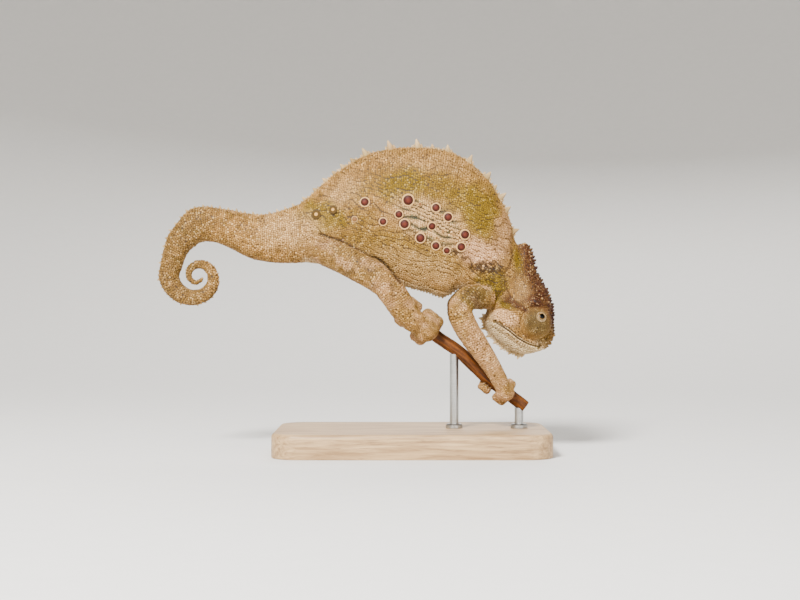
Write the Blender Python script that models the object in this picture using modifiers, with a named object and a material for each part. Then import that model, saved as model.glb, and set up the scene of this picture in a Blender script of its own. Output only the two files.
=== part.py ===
"""Eastern Cape dwarf chameleon, a still and life-size display model.

The animal grips a short cut length of stem, which two rods hold over a flat base. It faces +X
with its head hanging, its right side is towards -Y, and the base rests on z = 0.
Sizes and places below are in millimetres. The meshes are in metres.
"""
import math
import random

import bmesh
import bpy
import numpy as np
from mathutils import Matrix, Vector
from mathutils.bvhtree import BVHTree

MM = 0.001
GAP = 0.3
ACROSS = Vector((0, 1, 0))

# A row of the body is one section: back x and z, belly x and z, and half width.
TAIL_ROWS = [
    (-47.2, 53.1, -42.2, 49.6, 2.5),
    (-44.2, 57.6, -40.1, 51.6, 2.8),
    (-41.6, 60.4, -39.0, 52.4, 3.1),
    (-38.2, 61.3, -37.4, 52.7, 3.2),
    (-34.7, 60.9, -34.7, 52.4, 3.3),
    (-30.9, 60.3, -30.9, 50.8, 3.5),
    (-26.4, 59.5, -26.4, 48.6, 3.8),
    (-21.9, 59.4, -21.9, 47.6, 4.0),
    (-17.7, 60.6, -16.9, 47.3, 4.1),
]
TORSO_ROWS = [
    (-13.9, 62.0, -12.4, 47.5, 4.3),
    (-9.4, 65.8, -6.4, 46.5, 4.8),
    (-3.9, 70.5, -0.9, 45.0, 5.4),
    (4.1, 74.8, 5.6, 43.3, 6.0),
    (14.1, 76.2, 12.1, 41.5, 6.3),
    (23.1, 75.2, 18.1, 40.0, 6.4),
    (28.6, 72.2, 22.1, 38.8, 6.3),
    (33.1, 68.0, 25.8, 41.0, 6.0),
    (36.1, 63.0, 28.8, 40.0, 5.6),
    (38.6, 57.5, 32.6, 36.0, 5.2),
]
NECK_ROWS = [
    (39.3, 54.0, 32.8, 34.5, 5.0),
    (41.0, 50.0, 35.2, 32.5, 4.4),
    (42.2, 46.5, 37.5, 31.5, 3.6),
]
HEAD_ROWS = [
    (42.6, 52.4, 40.8, 52.0, 0.9),
    (44.1, 49.0, 38.8, 48.8, 2.2),
    (44.8, 45.5, 37.6, 45.0, 3.8),
    (46.3, 42.3, 36.1, 40.8, 5.2),
    (48.0, 39.5, 34.1, 36.8, 6.2),
    (48.8, 36.5, 32.1, 33.3, 6.6),
    (49.0, 33.5, 33.6, 30.0, 6.2),
    (49.1, 30.8, 36.3, 27.1, 5.2),
    (48.9, 28.5, 39.6, 25.0, 4.2),
    (48.0, 26.8, 42.8, 24.6, 3.0),
    (46.8, 25.8, 45.3, 25.3, 1.2),
]

# The curled end of the tail winds in round its own centre.
CURL_CENTRE = (-39.6, 44.0)
CURL_REACH = 7.2
CURL_HALF_DEPTH = 2.5
CURL_TURNS = 1.45
CURL_SHRINK_PER_TURN = 0.3
CURL_STEPS = 20
TAIL_FLATNESS = 0.85

# How blunt each section is at the back and at the belly: 1 is an ellipse, more is a keel.
BODY_EDGES = (1.25, 1.0)
TAIL_EDGES = (0.95, 0.9)
HEAD_EDGES = (0.62, 0.95)
BODY_SIDES = 20
TAIL_SIDES = 14
HEAD_SIDES = 20
ROW_STEPS = 3

# A row of a limb is its centre x, y and z, and its radius, on the animal's right side.
UPPER_ARM = [(31.3, -3.6, 38.8, 3.0), (28.1, -6.2, 38.5, 2.9), (25.9, -7.8, 36.6, 2.8)]
FOREARM = [
    (25.9, -7.8, 36.6, 2.7),
    (26.1, -8.0, 34.3, 2.75),
    (27.6, -7.7, 31.0, 2.7),
    (30.1, -6.9, 27.1, 2.55),
    (32.8, -5.9, 23.0, 2.25),
    (34.9, -4.9, 19.6, 2.0),
]
THIGH = [
    (-10.2, -0.8, 51.4, 3.2),
    (-6.8, -2.4, 50.3, 3.9),
    (-2.5, -4.3, 48.3, 3.9),
    (3.1, -6.4, 45.0, 3.6),
    (7.1, -7.6, 42.4, 3.45),
]
SHANK = [
    (7.1, -7.6, 42.4, 3.3),
    (9.6, -7.3, 39.2, 3.3),
    (12.0, -6.3, 35.6, 3.15),
    (14.3, -5.4, 32.9, 2.8),
]
TUBE_RESOLUTION = 3
LIMB_STEPS = 2

# The stem that the feet grip, by x and z along its middle.
STEM = [(11.8, 35.8), (14.1, 33.9), (17.1, 31.3), (21.1, 28.3), (25.8, 25.1), (29.6, 21.5), (33.1, 18.3),
        (36.8, 15.5), (42.4, 11.3)]
STEM_RADIUS = 1.6

# Where along the stem each foot grips, from 0 at its upper end to 1, and the size of the foot.
GRIPS = {
    "hand_right": (0.885, -1, 0.78, (2.2, 1.85, 2.2)),
    "hand_left": (0.77, 1, 0.74, (2.1, 1.75, 2.1)),
    "foot_right": (0.26, -1, 1.3, (3.3, 2.4, 3.4)),
    "foot_left": (0.06, 1, 1.0, (2.7, 2.1, 2.7)),
}
HAND_TOES = (2, 3)
FOOT_TOES = (3, 2)
TOE_SPACING = 1.25
TOE_START = math.radians(20)
TOE_END = math.radians(128)
TOE_STEPS = 3
CLAW_LENGTH = 1.1
CLAW_RADIUS = 0.3

# The crest is placed along the back by the length from the tail's root, with each spine's height.
BACK_CREST = [
    (1.7, 1.2), (5.2, 1.5), (8.7, 1.4), (11.6, 1.5), (14.2, 1.6), (17.1, 1.7), (20.7, 2.1), (27.0, 2.3),
    (33.8, 2.2), (37.5, 1.2), (41.3, 1.7), (47.3, 2.1), (53.2, 2.3), (56.4, 1.6), (59.3, 2.2), (62.7, 2.1),
]
NAPE_CREST = [(2.9, 1.9)]
SPINE_WIDTH = 0.75
SPINE_SIDES = 6
SPINE_LEAN = 0.12
TAIL_CREST_SPACING = 2.1
TAIL_CREST_LEAST = 0.3
TAIL_CREST_HEIGHT = 0.9
BELLY_SPINE_HEIGHT = 0.7

# The round scutes on each flank: x, z and radius.
FLANK_SCUTES = [
    (2.4, 62.1, 1.3), (13.1, 62.6, 1.6), (19.9, 60.7, 1.25), (22.9, 58.4, 1.3), (10.8, 59.1, 1.15),
    (12.2, 56.7, 1.4), (6.9, 57.3, 1.1), (18.9, 56.2, 1.15), (27.0, 54.1, 1.35), (16.1, 53.3, 1.4),
    (19.9, 51.4, 1.2), (22.6, 50.2, 1.0), (26.1, 51.1, 1.3), (-0.1, 57.9, 0.9), (-5.4, 60.2, 1.3),
    (-9.6, 59.1, 1.3),
]
SCUTE_RISE = 0.3
SCUTE_SIDES = 8

# The head: the mouth from the corner to the snout by x and z, the eyes, nostrils, lips and tubercles.
MOUTH = [(28.0, 33.6), (34.6, 32.5), (37.6, 30.6), (40.3, 28.5), (43.1, 27.0), (45.6, 26.4), (50.0, 25.6)]
LIP_RADIUS = 0.42
TURRET_CENTRE = (44.6, 4.3, 32.5)
TURRET_RADIUS = 4.0
TURRET_CLEAR = 5.2
GAZE = (1.1, 3.5, 1.35)
EYE_RADIUS = 1.25
EYE_DEPTH = 0.55
LID_RADIUS = 1.35
LID_THICKNESS = 0.34
NOSTRIL = (47.4, 28.3)
NOSTRIL_RADIUS = 0.4
CASQUE_TUBERCLES = 15
CASQUE_SIDE_TUBERCLES = 11
TUBERCLE_HEIGHT = 0.95
TUBERCLE_WIDTH = 0.62
GULAR_LOBES = 10
GULAR_LOBE_LENGTH = 1.2
GULAR_LOBE_WIDTH = 0.7

BASE_SIZE = (68.0, 42.0, 6.0)
BASE_X = 14.0
BASE_CORNER = 7.0
BASE_EDGE = 1.0
ROD_RADIUS = 1.1
ROD_X = {"stand_rod_rear": 24.6, "stand_rod_front": 40.8}
ROD_SIDES = 16

SKIN = (0.47, 0.32, 0.19)
COLOURS = {
    "torso": SKIN,
    "neck": SKIN,
    "head": (0.38, 0.24, 0.13),
    "lower_jaw": (0.52, 0.40, 0.28),
    "eye_turret": (0.30, 0.20, 0.11),
    "eye": (0.02, 0.015, 0.01),
    "tail": (0.45, 0.30, 0.18),
    "upper_arm": SKIN,
    "forearm": SKIN,
    "hand": SKIN,
    "thigh": SKIN,
    "shank": SKIN,
    "foot": SKIN,
    "perch": (0.22, 0.09, 0.02),
    "stand_base": (0.62, 0.60, 0.56),
    "stand_rod": (0.50, 0.50, 0.50),
}

chance = random.Random(17)


# Helpers for meshes

def empty_the_scene():
    """Removes every object that the scene starts with."""
    for old in list(bpy.data.objects):
        bpy.data.objects.remove(old, do_unlink=True)


def new_collection(name):
    """Adds a collection to the scene."""
    collection = bpy.data.collections.new(name)
    bpy.context.scene.collection.children.link(collection)
    return collection


def new_object(name, mesh):
    """Puts a mesh or curve into the scene as an object."""
    made = bpy.data.objects.new(name, mesh)
    pieces.objects.link(made)
    return made


def from_bmesh(name, form):
    """Turns a bmesh into an object, with its faces pointing out."""
    bmesh.ops.recalc_face_normals(form, faces=form.faces)
    mesh = bpy.data.meshes.new(name)
    form.to_mesh(mesh)
    form.free()
    return new_object(name, mesh)


def evaluated_mesh(source):
    """Gives the mesh of an object with its modifiers done."""
    graph = bpy.context.evaluated_depsgraph_get()
    return bpy.data.meshes.new_from_object(source.evaluated_get(graph))


def remove(source):
    """Deletes an object."""
    bpy.data.objects.remove(source, do_unlink=True)


def islands_of(form):
    """Lists the separate closed surfaces of a bmesh, the largest first."""
    left = set(form.faces)
    islands = []
    while left:
        todo = [left.pop()]
        island = list(todo)
        while todo:
            face = todo.pop()
            for edge in face.edges:
                for other in edge.link_faces:
                    if other in left:
                        left.remove(other)
                        todo.append(other)
                        island.append(other)
        islands.append(island)
    return sorted(islands, key=surface_area, reverse=True)


def surface_area(faces):
    """Adds up the area of some faces."""
    return sum(face.calc_area() for face in faces)


def keep_island(target, rank=0):
    """Leaves an object only one of its closed surfaces: 0 is the largest."""
    form = bmesh.new()
    form.from_mesh(target.data)
    dropped = [face for n, island in enumerate(islands_of(form)) if n != rank for face in island]
    bmesh.ops.delete(form, geom=dropped, context="FACES")
    form.to_mesh(target.data)
    form.free()


def boolean(target, other, operation, solver="EXACT"):
    """Cuts an object by another, or joins a collection of them to it, and removes what it used."""
    step = target.modifiers.new(operation.lower(), "BOOLEAN")
    step.operation = operation
    step.solver = solver
    if isinstance(other, bpy.types.Collection):
        step.operand_type = "COLLECTION"
        step.collection = other
        used = list(other.objects)
    else:
        step.object = other
        used = [other]
    result = evaluated_mesh(target)
    target.modifiers.clear()
    target.data = result
    for piece in used:
        remove(piece)


def fuse(core, added, solver="EXACT"):
    """Joins closed pieces to a core with one union, and keeps the largest closed surface."""
    group = new_collection("to_fuse")
    for piece in added:
        pieces.objects.unlink(piece)
        group.objects.link(piece)
    boolean(core, group, "UNION", solver)
    bpy.data.collections.remove(group)
    keep_island(core)
    return core


def grown(source, distance=GAP):
    """Copies a plain form and moves its surface out, for cutting a neighbour clear of it."""
    form = bmesh.new()
    form.from_mesh(source.data)
    form.normal_update()
    moves = [vertex.normal * distance * MM for vertex in form.verts]
    for vertex, move in zip(form.verts, moves):
        vertex.co += move
    return from_bmesh(source.name + "_grown", form)


def cut_clear(target, *neighbours):
    """Cuts a piece back to the gap round each neighbour."""
    for neighbour in neighbours:
        boolean(target, grown(neighbour), "DIFFERENCE")
    keep_island(target)
    return target


# Forms

def smooth_rows(rows, steps=ROW_STEPS):
    """Reads more rows from the smooth curve through the given ones."""
    rows = np.array(rows, dtype=float)
    padded = np.vstack([2 * rows[0] - rows[1], rows, 2 * rows[-1] - rows[-2]])
    fine = []
    for a, b, c, d in zip(padded, padded[1:], padded[2:], padded[3:]):
        for k in range(steps):
            t = k / steps
            curve = 2 * b + (c - a) * t + (2 * a - 5 * b + 4 * c - d) * t ** 2
            fine.append((curve + (3 * b - a - 3 * c + d) * t ** 3) / 2)
    fine.append(rows[-1])
    return fine


def curl_rows():
    """Works out the sections of the tail's curled end, from its tip outwards."""
    rows = []
    for step in range(CURL_STEPS + 1):
        turns = CURL_TURNS * (1 - step / CURL_STEPS)
        shrink = CURL_SHRINK_PER_TURN ** turns
        angle = math.pi + 2 * math.pi * turns
        outer = (CURL_REACH + CURL_HALF_DEPTH) * shrink
        inner = (CURL_REACH - CURL_HALF_DEPTH) * shrink
        across = (math.cos(angle), math.sin(angle))
        back = [CURL_CENTRE[axis] + outer * across[axis] for axis in (0, 1)]
        belly = [CURL_CENTRE[axis] + inner * across[axis] for axis in (0, 1)]
        rows.append((*back, *belly, CURL_HALF_DEPTH * TAIL_FLATNESS * shrink))
    return rows


def moved_row(row, distance):
    """Moves a section square to its own plane, towards the head."""
    back, belly = np.array(row[0:2]), np.array(row[2:4])
    down = (belly - back) / np.linalg.norm(belly - back)
    move = np.array((-down[1], down[0])) * distance
    return np.array([*(back + move), *(belly + move), row[4]])


def between_cuts(rows, first, last):
    """Takes the rows of one length of the body, half the gap short of each cut."""
    return [moved_row(rows[first], GAP / 2), *rows[first + 1:last], moved_row(rows[last], -GAP / 2)]


def section(row, sides, edges):
    """Places the points of one section, starting at the back."""
    back = Vector((row[0], 0, row[1]))
    belly = Vector((row[2], 0, row[3]))
    ring = []
    for k in range(sides):
        turn = 2 * math.pi * k / sides
        down = (1 - math.cos(turn)) / 2
        blunt = edges[0] + (edges[1] - edges[0]) * down
        side = math.copysign(abs(math.sin(turn)) ** blunt, math.sin(turn)) if k % (sides // 2) else 0
        ring.append((back.lerp(belly, down) + ACROSS * side * row[4]) * MM)
    return ring


def loft(name, rows, sides, edges):
    """Skins a row of sections and closes both ends."""
    form = bmesh.new()
    rings = [[form.verts.new(place) for place in section(row, sides, edges)] for row in rows]
    for ring, following in zip(rings, rings[1:]):
        for k in range(sides):
            j = (k + 1) % sides
            form.faces.new((ring[k], ring[j], following[j], following[k]))
    form.faces.new(rings[0])
    form.faces.new(rings[-1])
    return from_bmesh(name, form)


def round_off(rows, turns=(30, 55, 78)):
    """Adds a round end to a limb's rows."""
    before, last = np.array(rows[-2]), np.array(rows[-1])
    ahead = (last - before)[:3]
    ahead /= np.linalg.norm(ahead)
    ends = []
    for turn in turns:
        reach = last[3] * math.sin(math.radians(turn))
        ends.append((*(last[:3] + ahead * reach), last[3] * math.cos(math.radians(turn))))
    return [*rows, *ends]


def tube(name, rows, resolution=TUBE_RESOLUTION):
    """Makes a tapered round tube along rows of x, y, z and radius."""
    curve = bpy.data.curves.new(name, "CURVE")
    curve.dimensions = "3D"
    curve.bevel_depth = MM
    curve.bevel_resolution = resolution
    curve.use_fill_caps = True
    spline = curve.splines.new("POLY")
    spline.points.add(len(rows) - 1)
    for place, row in zip(spline.points, rows):
        place.co = (row[0] * MM, row[1] * MM, row[2] * MM, 1)
        place.radius = row[3]
    guide = new_object(name + "_curve", curve)
    form = bmesh.new()
    form.from_mesh(evaluated_mesh(guide))
    form.transform(guide.matrix_world)
    bmesh.ops.remove_doubles(form, verts=form.verts, dist=1e-6)
    remove(guide)
    return from_bmesh(name, form)


def turned_to(direction):
    """Gives the turn that takes +Z to a direction."""
    return Vector(direction).to_track_quat("Z", "Y").to_matrix().to_4x4()


def cone(place, direction, height, radius, sides=SPINE_SIDES, sunk=0.9, tip=0.12):
    """Makes a spine: a cone that stands height proud of a place and whose root is sunk below it."""
    direction = Vector(direction).normalized()
    middle = (Vector(place) + direction * (height - sunk) / 2) * MM
    form = bmesh.new()
    turn = Matrix.Translation(middle) @ turned_to(direction)
    bmesh.ops.create_cone(
        form, cap_ends=True, segments=sides, radius1=radius * (1 + sunk / height) * MM,
        radius2=tip * radius * MM, depth=(height + sunk) * MM, matrix=turn)
    return from_bmesh("cone", form)


def ball(place, sizes, name="ball", segments=14, rings=8):
    """Makes a ball or an egg-shaped form."""
    form = bmesh.new()
    turn = Matrix.Translation(Vector(place) * MM) @ Matrix.Diagonal((*(size * MM for size in sizes), 1))
    bmesh.ops.create_uvsphere(form, u_segments=segments, v_segments=rings, radius=1, matrix=turn)
    return from_bmesh(name, form)


class Surface:
    """Finds places on a form's skin by looking in from one side."""

    def __init__(self, source):
        form = bmesh.new()
        form.from_mesh(source.data)
        bmesh.ops.triangulate(form, faces=form.faces)
        self.tree = BVHTree.FromBMesh(form)
        form.free()

    def side(self, x, z, side):
        """Gives the place and outward direction at x and z on the right (-1) or left (1) side."""
        start = Vector((x, 40 * side, z)) * MM
        place, normal, _, _ = self.tree.ray_cast(start, -ACROSS * side)
        return place / MM, normal


def mirrored(rows):
    """Takes a limb's rows to the left side."""
    return [(x, -y, z, radius) for x, y, z, radius in rows]


# The body

def along_back(rows, length):
    """Finds the place and the outward and backward directions at a length along the back."""
    backs = [Vector((row[0], 0, row[1])) for row in rows]
    bellies = [Vector((row[2], 0, row[3])) for row in rows]
    for k, (start, end) in enumerate(zip(backs, backs[1:])):
        step = (end - start).length
        if length <= step:
            break
        length -= step
    ahead = (end - start).normalized()
    out = Vector((-ahead.z, 0, ahead.x))
    if out.dot(start - bellies[k]) < 0:
        out = -out
    return start + ahead * length, out, ahead


def crest(rows, spines):
    """Makes a row of spines along the back, which lean towards the tail."""
    made = []
    for length, height in spines:
        place, out, ahead = along_back(rows, length)
        made.append(cone(place, out - ahead * SPINE_LEAN, height, SPINE_WIDTH * (0.6 + 0.2 * height)))
    return made


def tail_crest(rows):
    """Makes the small spines along a length of the tail, smaller towards its tip."""
    length = sum(math.dist(a[0:2], b[0:2]) for a, b in zip(rows, rows[1:]))
    count = int((length - 1.6) / TAIL_CREST_SPACING)
    spines = []
    for k in range(count):
        where = 1.2 + k * TAIL_CREST_SPACING
        depth = min(rows[int(len(rows) * where / length)][4] / 3.5, 1)
        if depth < TAIL_CREST_LEAST:
            continue
        spines.append((where, TAIL_CREST_HEIGHT * (0.35 + 0.65 * depth) * chance.uniform(0.85, 1.15)))
    return crest(rows, spines)


def belly_spines(rows):
    """Makes the small pale points along the belly's edge."""
    made = []
    for row, following in zip(rows[8:22], rows[9:23]):
        place = Vector((row[2], 0, row[3]))
        ahead = (Vector((following[2], 0, following[3])) - place).normalized()
        made.append(cone(place, (ahead.z, 0, -ahead.x), BELLY_SPINE_HEIGHT, 0.55, sides=5, sunk=0.6))
    return made


def flank_scutes(torso):
    """Makes the round raised plates on both flanks."""
    skin = Surface(torso)
    made = []
    for side in (-1, 1):
        for x, z, radius in FLANK_SCUTES:
            place, normal = skin.side(x, z, side)
            made.append(cone(place, normal, SCUTE_RISE, radius * 0.9, sides=SCUTE_SIDES, sunk=0.8, tip=0.85))
    return made


def make_body():
    """Makes the tail's lengths, the torso and the neck from one run of sections."""
    tail = [*curl_rows(), *smooth_rows([curl_rows()[-1], *TAIL_ROWS, TORSO_ROWS[0]])[1:]]
    trunk = smooth_rows([*TORSO_ROWS, NECK_ROWS[0]])
    neck_start = len(trunk) - 1 - ROW_STEPS
    cuts = [0, CURL_STEPS - 4, len(tail) - 1 - 6 * ROW_STEPS, len(tail) - 1 - 3 * ROW_STEPS, len(tail) - 1]
    body = {}
    for number, (first, last) in enumerate(zip(cuts, cuts[1:])):
        rows = between_cuts(tail, first, last)
        name = f"tail_{len(cuts) - 1 - number}"
        body[name] = fuse(loft(name, rows, TAIL_SIDES, TAIL_EDGES), tail_crest(rows))
    rows = between_cuts(trunk, 0, neck_start)
    body["torso"] = loft("torso", rows, BODY_SIDES, BODY_EDGES)
    neck = smooth_rows([TORSO_ROWS[-1], *NECK_ROWS])
    body["neck"] = loft("neck", [moved_row(neck[0], GAP / 2), *neck[1:]], BODY_SIDES, BODY_EDGES)
    return body, rows, neck


# The head

def mouth_slit():
    """Makes the thin curved cutter that parts the lower jaw from the head."""
    form = bmesh.new()
    line = smooth_rows(MOUTH, 2)
    rows = [[form.verts.new(Vector((x, y, z)) * MM) for x, z in line] for y in (-15, 15)]
    for k in range(len(line) - 1):
        form.faces.new((rows[0][k], rows[0][k + 1], rows[1][k + 1], rows[1][k]))
    slit = from_bmesh("mouth_slit", form)
    wall = slit.modifiers.new("thickness", "SOLIDIFY")
    wall.thickness = GAP * MM
    wall.offset = 0
    slit.data = evaluated_mesh(slit)
    slit.modifiers.clear()
    return slit


def lips(skin):
    """Makes the ridge of each lip, round the snout from one corner of the mouth to the other."""
    made = []
    line = smooth_rows(MOUTH[1:-1], LIMB_STEPS)
    for rise in (0.5, -0.5):
        right = []
        for x, z in line:
            place, _ = skin.side(x, z + rise, -1)
            right.append((x, place.y + 0.15, z + rise, LIP_RADIUS))
        tip = (line[-1][0] + 0.9, 0, line[-1][1] + rise, LIP_RADIUS)
        made.append(tube("lip", [*right, tip, *reversed(mirrored(right))], resolution=1))
    return made


def head_tubercles(skin):
    """Makes the rough conical scales of the casque and brow, in a middle row and rows at each side."""
    made = []
    fine = smooth_rows(HEAD_ROWS)
    for k in range(CASQUE_TUBERCLES):
        row = fine[round(1 + k * (len(fine) - 8) / (CASQUE_TUBERCLES - 1))]
        back = Vector((row[0], 0, row[1]))
        out = (back - Vector((row[2], 0, row[3]))).normalized() + Vector((0, 0, 0.3))
        made.append(cone(back, out, TUBERCLE_HEIGHT * chance.uniform(0.8, 1.25), TUBERCLE_WIDTH, sides=5))
    for side in (-1, 1):
        turret = Vector((TURRET_CENTRE[0], TURRET_CENTRE[1] * side, TURRET_CENTRE[2]))
        for inset in (0.10, 0.24):
            for k in range(CASQUE_SIDE_TUBERCLES):
                row = fine[round(4 + k * (len(fine) - 12) / (CASQUE_SIDE_TUBERCLES - 1))]
                x = row[0] + (row[2] - row[0]) * inset
                z = row[1] + (row[3] - row[1]) * inset + chance.uniform(-0.3, 0.3)
                place, normal = skin.side(x, z, side)
                if (place - turret).length < TURRET_CLEAR:
                    continue
                out = normal + Vector((0.8, 0, 0.3))
                made.append(cone(place, out, 0.7 * chance.uniform(0.7, 1.2), TUBERCLE_WIDTH * 0.9, sides=5))
    return made


def gular_lobes():
    """Makes the pointed scales that hang in a row under the throat and chin."""
    made = []
    fine = smooth_rows(HEAD_ROWS)
    for k in range(GULAR_LOBES):
        row = fine[round(16 + k * 10 / (GULAR_LOBES - 1))]
        throat = Vector((row[2], 0, row[3]))
        out = (throat - Vector((row[0], 0, row[1]))).normalized() + Vector((-0.2, 0, -0.5))
        height = GULAR_LOBE_LENGTH * chance.uniform(0.75, 1.1)
        made.append(cone(throat, out, height, GULAR_LOBE_WIDTH, sides=5))
    return made


def make_head():
    """Makes the head and the lower jaw, parted along the mouth."""
    core = loft("head", smooth_rows(HEAD_ROWS), HEAD_SIDES, HEAD_EDGES)
    plain = new_object("plain_head", core.data.copy())
    skin = Surface(core)
    head = fuse(core, [*lips(skin), *head_tubercles(skin), *gular_lobes()])
    for side in (-1, 1):
        place, _ = skin.side(*NOSTRIL, side)
        boolean(head, ball(place, [NOSTRIL_RADIUS] * 3, segments=8, rings=6), "DIFFERENCE")
    boolean(head, mouth_slit(), "DIFFERENCE")
    lower_jaw = new_object("lower_jaw", head.data.copy())
    keep_island(head)
    keep_island(lower_jaw, rank=1)
    return {"head": head, "lower_jaw": lower_jaw}, plain


def make_eye(side, plain_head):
    """Makes one turret with the ring of its lids, and the small eye in it."""
    name = "right" if side < 0 else "left"
    centre = Vector((TURRET_CENTRE[0], TURRET_CENTRE[1] * side, TURRET_CENTRE[2]))
    gaze = Vector((GAZE[0], GAZE[1] * side, GAZE[2])).normalized()
    turret = ball(centre, [TURRET_RADIUS] * 3, "eye_turret_" + name, segments=16, rings=10)
    lid = bmesh.new()
    rim_turn = Matrix.Translation((centre + gaze * (TURRET_RADIUS - 0.25)) * MM) @ turned_to(gaze)
    bmesh.ops.create_cone(
        lid, cap_ends=True, segments=14, radius1=(LID_RADIUS + 2 * LID_THICKNESS) * MM,
        radius2=LID_RADIUS * MM, depth=1.0 * MM, matrix=rim_turn)
    fuse(turret, [from_bmesh("lid", lid)])
    eye_place = centre + gaze * (TURRET_RADIUS - EYE_DEPTH)
    eye = ball(eye_place, [EYE_RADIUS] * 3, "eye_" + name, segments=12, rings=8)
    cut_clear(turret, eye, plain_head)
    return {turret.name: turret, eye.name: eye}


# The limbs

def stem_rows():
    """Gives the stem's rows with its radius."""
    return [(x, 0, z, STEM_RADIUS) for x, z in smooth_rows(STEM, LIMB_STEPS)]


def grip_frame(where):
    """Finds a place on the stem's middle, and the directions along it and square to it."""
    rows = stem_rows()
    k = where * (len(rows) - 1)
    low = min(int(k), len(rows) - 2)
    start = Vector(rows[low][:3])
    end = Vector(rows[low + 1][:3])
    along = (end - start).normalized()
    return start.lerp(end, k - low), along, Vector((-along.z, 0, along.x))


def make_foot(name, toes, stem, leg_end, leg):
    """Makes a foot: its palm beside the stem, and two bundles of toes that grip round the stem."""
    where, side, toe_radius, palm_sizes = GRIPS[name]
    middle, along, above = grip_frame(where)
    out = ACROSS * side
    palm_place = middle + out * (STEM_RADIUS + GAP + palm_sizes[1])
    palm = ball(palm_place, palm_sizes, name, segments=10, rings=7)
    added = [tube("wrist", smooth_rows([leg_end, (*palm_place, palm_sizes[1])]))]
    reach = STEM_RADIUS + GAP + toe_radius
    for bundle, way in zip(toes, (1, -1)):
        for k in range(bundle):
            offset = along * (k - (bundle - 1) / 2) * TOE_SPACING * toe_radius
            arc = []
            for step in range(TOE_STEPS + 1):
                turn = TOE_START + (TOE_END - TOE_START) * step / TOE_STEPS
                place = middle + offset + (out * math.cos(turn) + above * way * math.sin(turn)) * reach
                arc.append((*place, toe_radius * (1.15 - 0.25 * step / TOE_STEPS)))
            added.append(tube("toe", round_off(arc, (35, 72)), resolution=1))
            ahead = Vector(arc[-1][:3]) - Vector(arc[-2][:3])
            tip = Vector(arc[-1][:3]) + ahead.normalized() * toe_radius * 0.7
            added.append(cone(tip, ahead, CLAW_LENGTH, CLAW_RADIUS, sides=5, sunk=0.5))
    foot = fuse(palm, added, "MANIFOLD")
    return cut_clear(foot, stem, leg)


def make_limbs(side, torso, neck, tail, stem):
    """Makes the arm and the leg of one side, each in three nodes."""
    name = "_right" if side < 0 else "_left"
    flip = list if side < 0 else mirrored
    upper_arm = tube("upper_arm" + name, round_off(smooth_rows(flip(UPPER_ARM), LIMB_STEPS)))
    forearm = tube("forearm" + name, round_off(smooth_rows(flip(FOREARM), LIMB_STEPS)))
    thigh = tube("thigh" + name, round_off(smooth_rows(flip(THIGH), LIMB_STEPS)))
    shank = tube("shank" + name, round_off(smooth_rows(flip(SHANK), LIMB_STEPS)))
    cut_clear(forearm, upper_arm)
    cut_clear(shank, thigh)
    hand = make_foot("hand" + name, HAND_TOES, stem, flip(FOREARM)[-1], forearm)
    foot = make_foot("foot" + name, FOOT_TOES, stem, flip(SHANK)[-1], shank)
    cut_clear(upper_arm, torso, neck)
    cut_clear(thigh, torso, tail)
    return {limb.name: limb for limb in (upper_arm, forearm, hand, thigh, shank, foot)}


# The perch and the stand

def make_stand(stem):
    """Makes the base plate and the two rods up to the stem."""
    bpy.ops.mesh.primitive_cube_add(size=1, location=(BASE_X * MM, 0, BASE_SIZE[2] / 2 * MM))
    base = bpy.context.active_object
    base.name = "stand_base"
    base.scale = [size * MM for size in BASE_SIZE]
    bpy.ops.object.transform_apply(location=True, rotation=True, scale=True)
    form = bmesh.new()
    form.from_mesh(base.data)
    upright = [e for e in form.edges if abs(e.verts[0].co.z - e.verts[1].co.z) > MM]
    bmesh.ops.bevel(form, geom=upright, offset=BASE_CORNER * MM, segments=8, profile=0.5, affect="EDGES")
    top = [e for e in form.edges if min(v.co.z for v in e.verts) > (BASE_SIZE[2] - 0.01) * MM]
    bmesh.ops.bevel(form, geom=top, offset=BASE_EDGE * MM, segments=3, profile=0.5, affect="EDGES")
    form.to_mesh(base.data)
    form.free()
    for holder in list(base.users_collection):
        holder.objects.unlink(base)
    pieces.objects.link(base)
    stand = {"stand_base": base}
    foot = BASE_SIZE[2] + GAP
    for name, x in ROD_X.items():
        height = float(np.interp(x, [row[0] for row in stem_rows()], [row[2] for row in stem_rows()])) - foot
        form = bmesh.new()
        bmesh.ops.create_cone(
            form, cap_ends=True, segments=ROD_SIDES, radius1=ROD_RADIUS * MM, radius2=ROD_RADIUS * MM,
            depth=height * MM, matrix=Matrix.Translation(Vector((x, 0, foot + height / 2)) * MM))
        stand[name] = cut_clear(from_bmesh(name, form), stem)
    return stand


# Finish

def finish(nodes, group):
    """Moves the finished nodes into their collection and gives each its own material."""
    for name, node in nodes.items():
        node.name = name
        node.data.name = name
        pieces.objects.unlink(node)
        group.objects.link(node)
        kind = next(key for key in sorted(COLOURS, key=len, reverse=True) if name.startswith(key))
        paint = bpy.data.materials.new(name)
        paint.use_nodes = True
        shader = paint.node_tree.nodes["Principled BSDF"]
        shader.inputs["Base Color"].default_value = (*COLOURS[kind], 1)
        shader.inputs["Roughness"].default_value = 0.15 if kind == "eye" else 0.6
        node.data.materials.clear()
        node.data.materials.append(paint)
        node.data.shade_smooth()
        node.data.set_sharp_from_angle(angle=math.radians(35))


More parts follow.
